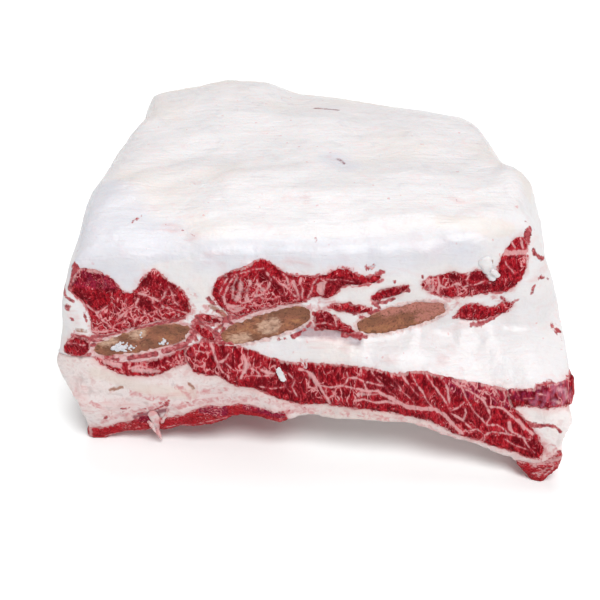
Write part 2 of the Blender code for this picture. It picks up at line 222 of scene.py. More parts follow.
def put(obj: bpy.types.Object, places: np.ndarray) -> None:
    """Moves the vertices to new places, in metres."""
    obj.data.vertices.foreach_set("co", places.astype(np.float32).ravel())
    obj.data.update()


def mark(obj: bpy.types.Object, name: str, values: np.ndarray) -> None:
    """Writes one number per vertex, for the finish to read."""
    layer = obj.data.attributes.get(name) or obj.data.attributes.new(name, "FLOAT", "POINT")
    layer.data.foreach_set("value", np.asarray(values, np.float32))


def weigh(obj: bpy.types.Object, name: str, weights: np.ndarray) -> None:
    """Writes a vertex group, in steps of a twentieth.

    Args:
        obj: The object.
        name: The group's name.
        weights: One weight per vertex, 0 to 1.
    """
    group = obj.vertex_groups.new(name=name)
    steps = np.round(np.clip(weights, 0, 1) * 20).astype(int)
    for step in range(1, 21):
        members = np.flatnonzero(steps == step)
        if len(members):
            group.add(members.tolist(), step / 20, "REPLACE")


def skin_of(*nodes: str) -> BVHTree:
    """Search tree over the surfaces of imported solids.

    Args:
        nodes: Names of the solids.

    Returns:
        The tree over all of their faces.
    """
    vertices, faces = [], []
    for name in nodes:
        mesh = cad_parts[name].data
        start = len(vertices)
        vertices += [v.co for v in mesh.vertices]
        faces += [[start + i for i in p.vertices] for p in mesh.polygons]
    return BVHTree.FromPolygons(vertices, faces)


def gaps_to(skin: BVHTree, places: np.ndarray, reach: float) -> np.ndarray:
    """Distance from each place to a skin.

    Args:
        skin: Search tree of the skin.
        places: Vertex places in metres.
        reach: Distance given where the skin is farther, millimetres.

    Returns:
        One distance per place, in millimetres.
    """
    found = np.full(len(places), float(reach))
    for i, place in enumerate(places):
        distance = skin.find_nearest(place, reach * MM)[3]
        if distance is not None:
            found[i] = distance / MM
    return found


def section_of(places: np.ndarray, normals: np.ndarray) -> np.ndarray:
    """Place in the drawn section, across and up, that each vertex was carried from.

    Args:
        places: Vertex places in metres.
        normals: Vertex normals, which tell the two cut faces from the sides.

    Returns:
        One row per vertex, in millimetres.
    """
    x, y, z = from_section(places).T
    back = BACK - BACK_ROUND * np.abs((x / 0.85 + 55) / 80) ** 1.5
    share = np.clip(y / np.maximum(back, 120), 0, 1)
    share *= 1 - soft((-normals[:, 1] - 0.15) / 0.4)
    share += (1 - share) * soft((normals[:, 1] - 0.15) / 0.4)
    across = (x - BACK_SHIFT * share) / (1 - BACK_NARROWING * share)
    rise = CROWN * (1 - np.abs(2 * share - 1) ** 3) - BACK_SINK * share
    up = (z - rise * soft((z - 60) / 40)) / (1 - BACK_LOWER * share)
    return np.stack([across, up], -1)


def tremble(places: np.ndarray, size: float) -> np.ndarray:
    """Smooth noise from about -1 to 1 at each place, with waves of this many millimetres."""
    return np.array([noise.noise(Vector(place)) for place in places / (size * MM)])


def stroke_gap(plan: np.ndarray, strokes: tuple[Stroke, ...], reach: float) -> np.ndarray:
    """Distance outside the nearest stroke, below zero within it.

    Args:
        plan: Places in the strokes' plane, millimetres.
        strokes: The drawn marks.
        reach: Value where no stroke is near.

    Returns:
        One distance per place, in millimetres.
    """
    nearest = np.full(len(plan), reach)
    for stroke in strokes:
        path = np.array(stroke.path, float)
        margin = reach + max(stroke.start, stroke.end)
        low, high = path.min(axis=0) - margin, path.max(axis=0) + margin
        near = np.flatnonzero(np.all((plan > low) & (plan < high), axis=1))
        if not len(near):
            continue
        here = plan[near]
        runs = np.linalg.norm(np.diff(path, axis=0), axis=1)
        total, passed = max(runs.sum(), 1e-6), 0.0
        for a, b, run in zip(path[:-1], path[1:], runs):
            t = np.clip((here - a) @ (b - a) / max(run * run, 1e-9), 0, 1)
            share = (passed + t * run) / total
            wide = stroke.start + (stroke.end - stroke.start) * share
            gap = np.linalg.norm(here - a - t[:, None] * (b - a), axis=1) - wide
            nearest[near] = np.minimum(nearest[near], gap)
            passed += run
    return nearest


# ---- drawn marks of the cut face and of the fat cover ---------------------------------------------
# how far a soft mark fades out beyond its half width, where a crisp one keeps its plain distance
FADE = {"flesh": 2.5, "blush": 5.0, "tint_and_shade": 16.0, "cream": 6.0, "veil": 3.0, "dark": 2.5, "bright": 2.5,
        "net": 5.0, "swell": 11.0, "smear": 2.0, "shaded_crease": 3.0, "haze": 3.0}
FAT_MARKS = ("blood", "flesh", "smear", "bruise", "blush", "tint_and_shade", "cream", "swell", "shaded_crease")
LEAN_MARKS = ("seam", "veil", "dark", "bright", "net", "pale", "haze")
BONE_MARKS = ("smear", "dark", "blush", "cream")
MARKS = {
    "lean_left": {
        "seam": drawn(
            (.5, .3, (-105, 80), (-102.5, 77.5), (-101, 76), (-99.5, 73)),
            (.45, .3, (-101, 76), (-98, 77.5), (-95.5, 79.5)),
            (.5, .35, (-91.5, 71.5), (-90, 74), (-86.5, 77), (-83, 79), (-81, 83)),
            (.4, .3, (-90, 74), (-92, 77), (-92.5, 80)),
            (.6, .4, (-80.5, 86.3), (-77.5, 85.2), (-74, 84), (-71, 82.2), (-69.8, 79.8)),
            (.5, .3, (-71, 82.2), (-69, 85), (-67.5, 88.5)),
            (.55, .35, (-69.8, 79.8), (-67, 78.6), (-62.5, 77), (-59, 75.2)),
            (.4, .25, (-66.2, 89.5), (-65, 86), (-64.8, 82.5), (-62.5, 80)),
            (.35, .25, (-74, 84), (-74.5, 80), (-71.5, 77.5), (-71, 74.5)),
            (.35, .25, (-83, 79), (-79.5, 77.5), (-78, 74.5)),
            (.35, .25, (-86.5, 77), (-88, 80), (-86.5, 83.5)),
            (.45, .3, (-98.5, 72.5), (-96, 70.5), (-95, 68)),
            (.4, .3, (-95, 68), (-91.5, 70), (-88.5, 70.5), (-86.5, 73)),
            (.4, .3, (-84, 69.5), (-83, 72.5), (-80.5, 73.5)), (.3, .2, (-62.5, 77), (-63, 73.5)),
            (.9, .5, (-104, 65.4), (-99, 65.6), (-94, 66.4))),
        "veil": drawn((4.5, 3.5, (-109, 95.5), (-101, 93.5), (-94, 92))),
        "bright": drawn((3.5, 2.5, (-104, 84), (-97, 83)), (1.5, 1.5, (-86, 84), (-80, 90))),
        "dark": drawn(
            (3.2, 2.5, (-77, 93.5), (-71, 90), (-66, 90)), (2, 2, (-108, 91), (-104.5, 82)),
            (2, 2, (-80, 81), (-76, 79))),
        "net": drawn((5, 4, (-97, 70), (-84, 74), (-70, 75)), (2, 2, (-80, 85), (-66, 82)))},
    "lean_middle": {
        "seam": drawn(
            (.4, .3, (-43.5, 86), (-42, 90), (-39.5, 94)),
            (.5, .4, (-41, 80.5), (-41.5, 84), (-40.5, 87.5), (-38.5, 92), (-36, 95.5)),
            (.45, .3, (-33.2, 91.5), (-33.5, 94.5), (-31, 96.5)),
            (.5, .35, (-35.5, 83), (-33, 80.8), (-29.5, 82), (-27, 85), (-25.5, 89), (-26, 93.5)),
            (.5, .3, (-31, 84.5), (-29.5, 88.5), (-29, 93)),
            (.6, .4, (-27, 85), (-23, 86), (-21, 89.5), (-19.5, 93.5), (-21.5, 97)),
            (.45, .3, (-18.5, 94.8), (-16, 92), (-13, 90.3), (-10.5, 87), (-8, 84.5)),
            (.45, .3, (-14.5, 96.5), (-12, 93.5), (-11.5, 90.5)), (1.1, .8, (-9.6, 92.5), (-8.3, 89.5)),
            (.5, .35, (-8.3, 89), (-7.2, 85.5), (-6.8, 82.2)),
            (.4, .3, (-6, 94.5), (-6.5, 91.5), (-5, 88.5), (-5.6, 84.5), (-4.6, 81.5)),
            (.5, .4, (1.5, 94.2), (-.5, 91.5), (-1, 88), (-2.4, 84.5), (-3.4, 82)),
            (1.4, .9, (2.6, 90.3), (2.2, 87.3), (3.2, 85.8)),
            (.6, .4, (3.4, 93.8), (5.4, 92.4), (4.6, 90), (4.3, 86.5)),
            (.35, .2, (5.5, 94), (9, 93.4), (14, 93.2), (18, 92.2)),
            (.7, .5, (-40, 80), (-36.5, 79.5), (-34, 79.8)),
            (.8, .5, (-39.5, 78.2), (-37, 76.6), (-33.5, 77.4), (-31.8, 79.5)),
            (.5, .35, (-30, 79.5), (-26, 79.8), (-24, 78.2), (-20, 80.5)),
            (.3, .2, (-38, 95.5), (-33, 97), (-28, 98.6), (-23, 99)),
            (.3, .25, (-24, 84), (-19, 83.5), (-15, 85))),
        "pale": drawn(
            (2, 1.6, (3.4, 91), (3, 86.4)), (1.6, 1.1, (-35.2, 83.5), (-34, 87), (-33, 92)),
            (.9, .5, (-31, 83), (-30.4, 88), (-29.2, 93)), (.7, .4, (-37.5, 84), (-37, 90), (-35, 95.5)),
            (1, .8, (-23, 88), (-26, 92)), (1.2, 1, (-38, 78.5), (-33, 78.5))),
        "bright": drawn(
            (2, 1.6, (-44.5, 88), (-41, 94), (-33, 98), (-25, 101), (-16, 97)),
            (1.4, 1.2, (2, 94.5), (14, 96), (28, 92.5))),
        "dark": drawn(
            (2.2, 2, (-38.5, 88.5), (-38.5, 83.5)), (2.6, 2, (8.6, 90), (7, 85.5)),
            (2.4, 2, (-12.5, 84.5), (-9, 86.5)), (1.5, 1, (10, 92.5), (20, 91.5)),
            (1.6, 1.4, (-23, 95), (-17, 89))),
        "net": drawn((5, 5, (-34, 87), (-22, 88), (-14, 85)), (2, 2, (-38, 77), (-24, 80)))},
    "lean_right": {
        "seam": drawn(
            (.6, .4, (51.8, 92), (52.6, 88.5), (52, 85.5)),
            (.6, .4, (54.5, 91.5), (55.2, 87.5), (54.6, 84)),
            (.6, .4, (57, 92.4), (58, 88.5), (57, 84.5), (58.2, 82.6)),
            (.45, .3, (58, 88.2), (61, 86.4), (63, 86.8), (65.8, 88.5)),
            (.5, .35, (65.8, 88.5), (66.6, 85), (67.2, 82.4)),
            (.45, .3, (66.2, 88.2), (69, 86.5), (71, 84), (70.5, 81.8)),
            (.5, .35, (69, 86.5), (72, 87.2), (75.5, 87.2), (79.5, 88.4), (82, 87)),
            (.4, .3, (71.5, 92), (70.3, 89.5), (71.8, 87.2)),
            (1.1, .9, (85.5, 100.6), (90, 99.9), (95, 99.2), (100, 98.6)),
            (.4, .3, (91.5, 104), (93.5, 101)), (.5, .3, (96, 104.6), (97.2, 100.8)),
            (.3, .2, (88, 97.5), (90, 94), (93, 91))),
        "pale": drawn((1, .8, (53.2, 91), (53.5, 85)), (1.6, 1.2, (99.5, 96.5), (101, 93.5))),
        "bright": drawn((2, 2, (88, 98), (92, 92), (95, 88)), (1.5, 1.5, (60, 84), (65, 84))),
        "dark": drawn((2, 1.8, (73, 93), (77, 91)), (1, 1, (64, 91), (75, 85), (82, 86))),
        "net": drawn((3, 3, (54, 88), (70, 84)))},
    "lean_lower": {
        "seam": drawn(
            (.7, .5, (-48.8, 59), (-47, 54), (-45.6, 49), (-43.8, 44.5)),
            (.5, .3, (-45.6, 49), (-42, 51), (-40, 54)),
            (.4, .3, (-43.8, 44.5), (-41, 42.5), (-40.5, 39.5)),
            (.7, .5, (-32.5, 51), (-31.5, 47.5), (-33.5, 44), (-35, 41)),
            (.6, .4, (-31.5, 47.5), (-28, 46), (-25.5, 44)),
            (.7, .5, (-25, 46.8), (-21.5, 44.8), (-18.5, 44.6)),
            (.4, .3, (-33.5, 44), (-38, 45.5), (-41.5, 49)),
            (.5, .4, (-30, 42.6), (-24, 43.2), (-19, 43.5)),
            (.9, .7, (-6.5, 48.8), (-3.5, 48), (-.5, 46), (1.5, 43.5), (3, 40.5)),
            (.6, .4, (3, 40.5), (4, 37), (6.5, 34), (7.5, 30.5)),
            (.7, .6, (3, 41.5), (8, 41), (13, 42.3), (19, 41), (25, 40)),
            (.7, .8, (25, 40), (30, 40.5), (33, 38.5), (36, 36.5)),
            (.5, .4, (14, 42.4), (16, 46.6), (20, 46.8), (23, 45.5), (24.5, 41)),
            (.4, .3, (16, 46.6), (15.5, 49.5)), (.4, .3, (24.5, 45), (28, 44.5), (33.5, 43), (35.5, 39.5)),
            (.9, 1.2, (34.5, 37.8), (39, 35.4), (44, 33.2), (50, 32.5)),
            (1.2, .8, (50, 32.5), (57, 32.6), (62, 29.6), (66, 25.4), (70.5, 20.8)),
            (.5, .6, (19.5, 34.4), (24, 35.6), (29, 34), (35, 34.8), (38, 34)),
            (.35, .25, (10, 41), (9, 37.5), (12, 34.5), (11, 31.5)),
            (.35, .25, (-12, 46), (-9, 42), (-10.5, 38), (-8, 33)),
            (.3, .2, (-26, 37), (-20, 36), (-14, 37.5), (-11, 35)),
            (.3, .2, (27, 50.5), (30, 46.5), (33.5, 43)),
            (.3, .25, (36, 49.5), (39, 45), (41.5, 41), (45, 38)),
            (.35, .25, (41, 50), (44.5, 45.5), (47, 42), (50.5, 38.5)), (.3, .2, (36.5, 44), (41.5, 41)),
            (.45, .3, (45.5, 50.6), (48, 46), (50.5, 42.5), (53, 37.5), (55.5, 34)),
            (.45, .35, (52.5, 50.8), (55, 47), (57.5, 44), (60, 40.5), (62.5, 36), (64, 32.8)),
            (.6, .4, (60.5, 48.6), (62.3, 44.5), (63, 40), (63.6, 36)),
            (.5, .35, (64, 32.8), (67.5, 34.5), (70.5, 37.5)),
            (.4, .3, (66.5, 47.8), (69.5, 44), (71, 40), (73.5, 36), (75.5, 33)),
            (.55, .4, (71, 44.2), (75, 42.3), (79, 39.5), (81.2, 36), (82.6, 31.5), (81, 27.5)),
            (.4, .3, (75.5, 33), (79, 29.5), (81.5, 27)),
            (.45, .3, (64.5, 31.5), (69, 29.3), (72.5, 26), (75.5, 23)),
            (.4, .3, (70.5, 28.5), (71.5, 32.5), (70, 36)),
            (.5, .35, (72, 22.5), (77, 24.2), (80.5, 21.5), (80.3, 17.5)),
            (.45, .3, (81.5, 26.8), (86, 27.5), (89.5, 25.5), (91.5, 23)),
            (.45, .35, (80.5, 21.5), (84, 23.8), (90, 23.5), (96, 23), (101, 22.3)),
            (.9, .5, (91.6, 29.5), (91.8, 26.6), (93.6, 24.6), (97, 23.4)),
            (.6, .5, (82, 36.5), (88, 36.4), (92.5, 33), (96, 30), (98.5, 27)),
            (.7, .5, (95.5, 31.5), (98.5, 28), (102.5, 25)),
            (.35, .25, (98, 22.5), (100.5, 19), (103.5, 16.5)), (.3, .2, (90, 20.5), (95, 18), (101, 17)),
            (.4, .3, (64, 48.5), (67, 46.4), (70, 46), (73, 44.5)),
            (.4, .3, (74, 46.6), (76.5, 44.3), (80, 43.6), (83, 41), (86, 38.5)),
            (.35, .3, (80, 46), (81.5, 43.5)), (.35, .3, (76.5, 44.3), (78, 41.5), (80, 40.2)),
            (.35, .3, (84, 45.4), (86, 42.5), (85, 40)), (.35, .3, (88, 45), (89, 42), (88.5, 38.5)),
            (.4, .3, (-57, 50), (-54, 48), (-52, 44)), (.4, .3, (-56, 55), (-52, 54), (-49, 55))),
        "pale": drawn(
            (1.8, 1.2, (-31.5, 48.5), (-33, 44.5)), (1.3, 1, (-24, 46), (-19, 44.5)),
            (1, .8, (-48, 57), (-45, 47)), (1.4, 1, (-1.5, 46.5), (2, 41.5)), (.8, .6, (4, 38), (7.5, 31)),
            (.8, .6, (21, 38), (33, 39))),
        "veil": drawn((3, 3.5, (66, 45.5), (78, 43.5), (89, 41.5))),
        "bright": drawn(
            (2, 2, (-34, 35), (-18, 31.5), (2, 29.8), (25, 30.5), (45, 28)), (3, 3, (85, 32), (97, 29)),
            (2.5, 2.5, (77, 37), (72, 42)), (2, 2, (84, 19), (103, 14.5))),
        "dark": drawn(
            (2, 1.6, (-14.5, 50.2), (-10.5, 48.8)), (3.5, 3, (-44, 54), (-40, 50)),
            (3, 3, (-25, 38.5), (0, 36)), (4, 3.5, (28, 46), (46, 41)), (3, 3, (66, 30), (80, 33)),
            (2.5, 2.5, (96, 20), (103, 19))),
        "net": drawn(
            (5, 4, (-55, 52), (-30, 47), (-15, 42)), (4, 4, (0, 38), (20, 38)),
            (3, 3, (70, 44), (90, 42)))},
    "lean_under_rib": {
        "seam": drawn(
            (.6, .4, (-101, 50), (-96, 47.5), (-91, 47.6)),
            (.5, .4, (-88, 45), (-83, 46.5), (-77, 44.5), (-73, 46.5)), (.4, .3, (-70, 49), (-66, 47.5)),
            (.4, .3, (-84, 46.3), (-82, 42)), (.4, .3, (-64, 54), (-63, 49))),
        "pale": drawn((2, 1.4, (-99, 48.2), (-92, 46.6)), (1.4, 1.2, (-86, 44), (-74, 43.5))),
        "bright": drawn((1.5, 1.5, (-100, 46), (-94, 43), (-82, 41.5), (-72, 42.5))),
        "dark": drawn((1.5, 1.3, (-78, 49), (-69, 50))),
        "net": drawn((3, 3, (-98, 47), (-64, 49)))},
    "lean_edge": {
        "bright": drawn((2, 2, (-116, 54), (-109, 53))),
        "dark": drawn((1.6, 1.4, (-112, 57.5), (-108, 56))),
        "seam": drawn((.4, .3, (-117, 57.5), (-112, 58.8), (-108, 58)))},
    "lean_flank": {
        "veil": drawn(
            (2, 1.8, (86, 44.6), (97, 44.6)), (2.2, 1.8, (100, 45), (109, 47)),
            (.8, .7, (107, 41), (112, 41.4))),
        "dark": drawn(
            (1.4, 1.2, (91, 46), (99, 44)), (1, .8, (103, 41.4), (108, 42)), (1, .8, (104, 48), (108, 49))),
        "haze": drawn(
            (1.5, 1.2, (105, 44.6), (112, 43)), (.8, .6, (100, 41), (106, 39.6)),
            (1.8, 1.6, (112, 47.5), (116.5, 46), (117.4, 42), (113, 40.6))),
        "pale": drawn((1, .8, (112.6, 46.6), (116.6, 45), (117, 41.6)), (.7, .5, (111, 42), (114, 40.4))),
        "bright": drawn((.8, .6, (113.6, 50), (114.6, 48)), (1, 1, (98, 42), (106, 43))),
        "seam": drawn(
            (.3, .2, (88, 46.6), (91, 43.6)), (.3, .2, (93, 47), (95, 44)), (.25, .2, (97, 43), (103, 44)),
            (.3, .2, (103, 46), (108, 45)), (.25, .2, (109, 47), (113, 48.4)))},
    "lean_strip_right": {
        "net": drawn((6, 6, (70, 73), (94, 73))),
        "bright": drawn((3, 3, (70, 73), (94, 74)))},
    "lean_strip_second": {
        "net": drawn((6, 6, (28, 82), (43, 88))),
        "bright": drawn((3, 3, (28, 82), (43, 88))),
        "seam": drawn((.5, .4, (30, 84.5), (31.5, 81)))},
    "lean_strip_third": {
        "net": drawn((5, 5, (8, 79), (30, 75))),
        "seam": drawn((.5, .4, (20.5, 77), (22, 73)))},
    "intercostal_second": {
        "seam": drawn(
            (.4, .3, (1, 69.5), (5, 70.5), (9, 69)), (.4, .3, (9.5, 73), (10.5, 68.5)),
            (.4, .3, (12, 66), (16, 67))),
        "dark": drawn((1.5, 1.5, (3, 73.5), (7, 73)))},
    "skirt_left": {
        "seam": drawn(
            (.4, .3, (-104, 1.6), (-98, 3), (-88, 5.4), (-78, 7.8)),
            (.35, .3, (-74, 8.8), (-60.8, 11.6), (-51.8, 14.4), (-42.5, 17.4))),
        "veil": drawn(
            (1.6, 1.3, (-86, 14.5), (-80, 15)), (1.4, 1.2, (-54, 21), (-44, 20.5)),
            (1.2, 1, (-32, 24), (-16, 22))),
        "pale": drawn((1.4, 1.2, (-111.5, 1), (-111, 6))),
        "bright": drawn(
            (2, 1.5, (-108, 3.5), (-98, 6)), (1.5, 1.5, (-72, 10), (-60, 13)),
            (1.5, 1.5, (-42, 19), (-24, 20.5)))},
    "skirt_right": {
        "bright": drawn((2.5, 2, (101, 5), (107, 3), (112, 8))),
        "net": drawn((4, 4, (102, 7), (114, 14))),
        "seam": drawn(
            (.5, .4, (103, 8), (107, 10.5), (112, 11)), (.4, .3, (109, 4), (112, 8), (114, 14)),
            (.4, .3, (104, 4.5), (108, 6.5))),
        "pale": drawn(
            (1.6, 1.4, (108, 14.6), (112, 13), (115.6, 15)), (1.2, .9, (104, 9.6), (110, 12)),
            (.7, .5, (111, 7), (113, 10)), (.8, .6, (106.4, 4), (110, 8.6)))},
    "fat_cap": {
        "blood": drawn(
            (1.3, .9, (-114, 78.4), (-114, 76.8)), (.6, .5, (-112.5, 72), (-112.3, 71)),
            (1.4, .8, (-107, 60.4), (-103, 60.2), (-99.5, 59.8)),
            (2, 1.4, (-55.5, 68), (-52.5, 64.5), (-49.5, 61.5)), (1.1, .7, (-57.5, 66), (-55.5, 60)),
            (1.4, .9, (-54, 73), (-49, 71.8), (-44.5, 71)), (.9, .6, (-44, 71), (-39, 70), (-36.5, 68)),
            (1, .7, (-48.8, 83), (-47.5, 81), (-45.8, 80)), (.8, .5, (-45, 76.3), (-41.5, 74.3)),
            (.8, .5, (-42, 66.8), (-43.5, 63.5)), (.8, .6, (-50, 60.5), (-46, 58.8)),
            (.9, .6, (-10, 63), (-7, 64.3), (-4, 66)), (.5, .3, (-17, 60.8), (-13, 61.6)),
            (1, .8, (-3, 67.5), (-1.5, 69.5)), (1.2, .9, (1, 66.5), (5, 66.8), (8.5, 67)),
            (1.2, 1, (12, 70), (13.5, 67.5), (17, 66)), (1.5, 1.1, (14, 63.8), (18, 64.2), (21.5, 62.8)),
            (.8, .5, (21, 63.8), (24.5, 62.6)), (.9, .6, (6.5, 78.6), (10, 78), (13, 78.6)),
            (.9, .6, (16.8, 81), (17.5, 79)), (.7, .5, (28, 75), (31, 75.5)),
            (.6, .5, (21, 73), (23.5, 71.2)),
            (.6, .4, (23.8, 99.6), (23.6, 97.3), (25.5, 98.7), (27, 99.6)),
            (.9, .6, (27.5, 94.5), (29.5, 96.5), (32, 96)), (.4, .4, (36.8, 92), (37.2, 91.2)),
            (.6, .4, (43, 88.5), (43.5, 86)), (.9, .6, (66, 69.5), (69, 69.7)),
            (.9, .7, (74, 66.2), (78, 66), (81.5, 67.3)), (.8, .6, (88, 79), (89.5, 77)),
            (.8, .5, (102.3, 80.3), (103, 84)), (.7, .4, (106, 86.4), (108.2, 85.4)),
            (.3, .25, (109.5, 85.4), (110.5, 84.2)), (.9, .7, (103.2, 96.6), (105.5, 94.8), (107.5, 93.6)),
            (.5, .4, (102.3, 98.6), (103.2, 96.6)), (.5, .4, (113.6, 62.2), (116, 60.4)),
            (1, .6, (116.2, 60.4), (118.2, 59.6)), (.4, .3, (117, 60), (117.8, 58)),
            (2.2, 1.6, (98.8, 102.5), (99.8, 106.6)), (.35, .3, (49.5, 93.5), (50.2, 92)),
            (.25, .2, (-26, 103), (-24.5, 102.6)), (.8, .7, (-99, 50.2), (-93, 49.6)),
            (1.1, 1.4, (-88, 50), (-79.9, 51.3), (-75, 52.6)),
            (1.5, 1.6, (-71, 53.8), (-65, 56), (-60.8, 58.2)),
            (1.4, 1.2, (-59, 60), (-56.9, 62.4), (-55.6, 65)),
            (2.4, 2, (-54.5, 70), (-50, 65.5), (-44.5, 61.5)), (2, 1.6, (-52, 73), (-45, 71.5)),
            (1.3, 1, (-52, 60.5), (-45, 58.6), (-38, 58.4)), (1, .7, (-56.5, 70), (-52, 70.4), (-47, 69)),
            (.8, .6, (-60, 58.5), (-57, 61.5)), (.7, .5, (-44, 62.8), (-38, 66)),
            (.7, .5, (-46, 66), (-42, 69.5)), (1, .8, (0, 74.6), (5, 74.8), (9, 73.6)),
            (.8, .6, (9, 69), (12, 67)), (.7, .5, (20, 76.4), (23, 78.8)), (.6, .5, (30, 78), (27, 80)),
            (.8, .6, (82, 67.5), (90, 71)), (.6, .5, (93, 76), (96, 77.4)),
            (1.1, .9, (-104, 62), (-97.6, 63.2), (-88.2, 65.4)),
            (.9, 1.1, (-84, 66.2), (-78.9, 67.4), (-69.5, 69.7), (-61, 72.4)),
            (1, .8, (-114, 60.4), (-108, 60.8), (-103.5, 59.6)), (.9, .7, (-105, 57.4), (-102, 56.4)),
            (.9, .7, (-117, 51.6), (-110, 51), (-106, 52.4)),
            (2, 2, (-109, 97.6), (-109.6, 93), (-111, 88)), (.6, .5, (-100, 52.4), (-95, 51.4)),
            (1.6, 1.2, (-41.5, 71.8), (-36.3, 73), (-32.3, 74.6)),
            (.8, .9, (-30, 75.4), (-24.9, 77.2), (-17.6, 79)),
            (.8, .6, (-14, 79.8), (-9, 80.6), (-4, 80.8)), (1.2, 1, (28, 80.4), (32, 80), (36.6, 81.4)),
            (1.4, 1.2, (39, 86.4), (43.4, 86)), (1.4, 1.1, (18.8, 75.4), (24.4, 76.4), (27, 74.6)),
            (.8, .6, (28.4, 75.6), (31, 77)), (.7, .6, (21, 73), (24.6, 72)),
            (.5, .4, (-106, 71), (-106.5, 76)), (.8, .6, (-116, 90), (-114.5, 84), (-111, 82)),
            (.6, .5, (22, 93), (24, 94.4), (28, 93)), (1.4, 1.2, (103, 47.4), (107, 48.2), (111, 47.6)),
            (1.6, 1.2, (-113, 61.6), (-108.3, 61.4), (-104.1, 60.6))) + drawn(
            (.7, .3, (-84.5, 24), (-83, 27), (-81, 30)), (.15, .1, (0, 21), (.9, 7)),
            (.35, .2, (-69, 22), (-67.5, 20.5)), (.3, .2, (-62, 18), (-60, 16)),
            (.3, .2, (-57, 14), (-55, 12)), (.2, .1, (67, 39), (67.5, 37.5)), plane=Plane.TOP),
        "flesh": drawn(
            (1.2, .8, (-104, 65.6), (-97, 64.2), (-90, 66), (-82, 68.2), (-72, 70), (-63, 71.6)),
            (2.2, 2, (-54, 72), (-48, 69), (-44, 66)), (1.4, 1, (-57.5, 74), (-56.5, 78)),
            (1.2, 1, (-46, 74), (-40, 71), (-37, 69)), (1, .8, (-112, 63.5), (-106, 64)),
            (.6, .5, (9, 81), (14, 79), (20, 78)), (.6, .5, (84, 79), (90, 78)),
            (.7, .5, (-2, 72.5), (-.5, 68)), (.8, .6, (-38, 76), (-30, 78.5)),
            (.6, .5, (-104, 53.6), (-98, 51.4)), (.5, .4, (3, 81), (9, 82)),
            (1.8, 1.4, (-111, 62.8), (-104, 62.2), (-95.7, 64.2)),
            (1, .9, (-95.7, 64.4), (-79.1, 68.4), (-59.7, 72.4)),
            (2.6, 2.6, (-99, 50.6), (-91, 49), (-82, 50), (-74, 52), (-63, 56.6)),
            (2, 1.8, (-41, 71.6), (-31.6, 75), (-21.3, 78), (-8, 80)), (.9, .7, (-49, 72.6), (-40, 68.4)),
            (1.5, 1.2, (-106, 54.6), (-103.6, 58)),
            (.9, .8, (-38, 74.5), (-28, 76.8), (-14, 81), (-4, 82.5)),
            (1.3, 1, (-56, 63), (-50, 68), (-43, 72)), (1, .8, (-52, 76), (-48, 80)),
            (1, .8, (-104, 51), (-98, 52.5)), (.5, .5, (-62, 69.6), (-58, 68)), (.7, .6, (-2, 78), (6, 77)),
            (.9, .7, (64, 75), (67, 76.6)), (.7, .6, (56, 79), (66, 80.6)), (.6, .5, (84, 82), (92, 84)),
            (.5, .5, (-57, 88), (-55, 84))),
        # painted shadow beneath the lean's lower edge between the second and third ribs, with a shallow
        # crease sunk under it
        "shaded_crease": drawn((1.4, 1, (-6, 65), (0, 65.2), (7.5, 64.6), (14.6, 63.4), (20, 62))),
        "blush": drawn(
            (.8, .6, (34.5, 55.3), (37.5, 55.8)), (.5, .4, (59.5, 55), (60.5, 55)),
            (.8, .8, (-12, 102), (-2, 100)), (1.5, 1, (-112, 74), (-112, 70)),
            # the stroke from (-2, 62) to (15, 60), on the shelf below the crease, is pink painted shade
            (1, .8, (-48, 102), (-42, 100)), (1.4, 1, (-2, 62), (8, 61.6), (15, 60)),
            (.6, .6, (102, 86), (108, 90))) + drawn(
            (1.6, 1.4, (-68, 21), (-61, 16), (-55, 12)), (.5, .4, (-4.5, 42), (-3.5, 38)),
            (.6, .5, (57, 140), (59, 139)), (.8, .6, (62, 5), (71, 4)), (.6, .5, (-59, 62), (-57, 60)),
            (.8, .6, (66, 40), (68.5, 38)), (.6, .5, (-76, 36), (-74, 35)), (.6, .5, (7, 88), (10, 86)),
            plane=Plane.TOP),
        "smear": drawn(
            (.6, .4, (-111, 65.8), (-107, 65.4)), (.6, .5, (-47.5, 79), (-44, 76), (-41, 74)),
            (.5, .4, (-44, 67.5), (-41, 64)), (.5, .4, (81, 97.4), (80, 94.5))),
        # grey tint: the thin stroke along the brow of the cut, fading over 16 mm, is painted shade; the
        # other strokes are a plain tint
        "tint_and_shade": drawn(
            (5, 4, (-104, 103), (-88, 101), (-87, 97)), (1, 1, (-50, 105), (-34, 102)),
            (.1, .1, (-34, 104), (10, 104), (70, 103))) + drawn(
            (14, 10, (-104, 44), (-92, 16), (-70, 6)), (1, 1, (10, 86), (16, 78)), plane=Plane.TOP),
        "swell": drawn(
            (3, 3, (-56, 98), (-50, 88)), (3, 2.5, (-86, 97), (-85, 91)),
            (3, 3, (36, 100), (60, 99), (76, 100)), (1.6, 1.4, (81.5, 97), (83.5, 90.5)),
            (2, 2, (-110, 80), (-110.5, 72)), (2, 1.5, (22, 86), (34, 92)),
            (2, 2, (-12, 102), (14, 100))) + drawn(
            (4, 4, (100, 66), (104, 50)), (3, 3, (30, 18), (52, 22)), (3, 3, (66, 14), (80, 24)),
            (3, 3, (-48, 10), (-30, 16)), (2, 2, (-90, 60), (-60, 80)), (2, 2, (-40, 60), (-10, 70)),
            plane=Plane.TOP),
        "bruise": drawn(
            (.7, .5, (.6, 158.7), (13.3, 154.4)), (.25, .2, (12, 87), (15.6, 80)), plane=Plane.TOP),
        "cream": drawn(
            (4, 3, (104, 70), (106, 50)), (6, 6, (-85, 190), (-20, 202), (50, 175)),
            (3, 3, (60, 20), (90, 16)), plane=Plane.TOP)},
    "fat_base": {
        "smear": drawn(
            (.6, .4, (-95.6, 32.5), (-92.8, 33.3)), (.1, .2, (-98.6, 31.5), (-96, 32.3)),
            (.2, .3, (-59.7, 35.3), (-58.2, 32.9))),
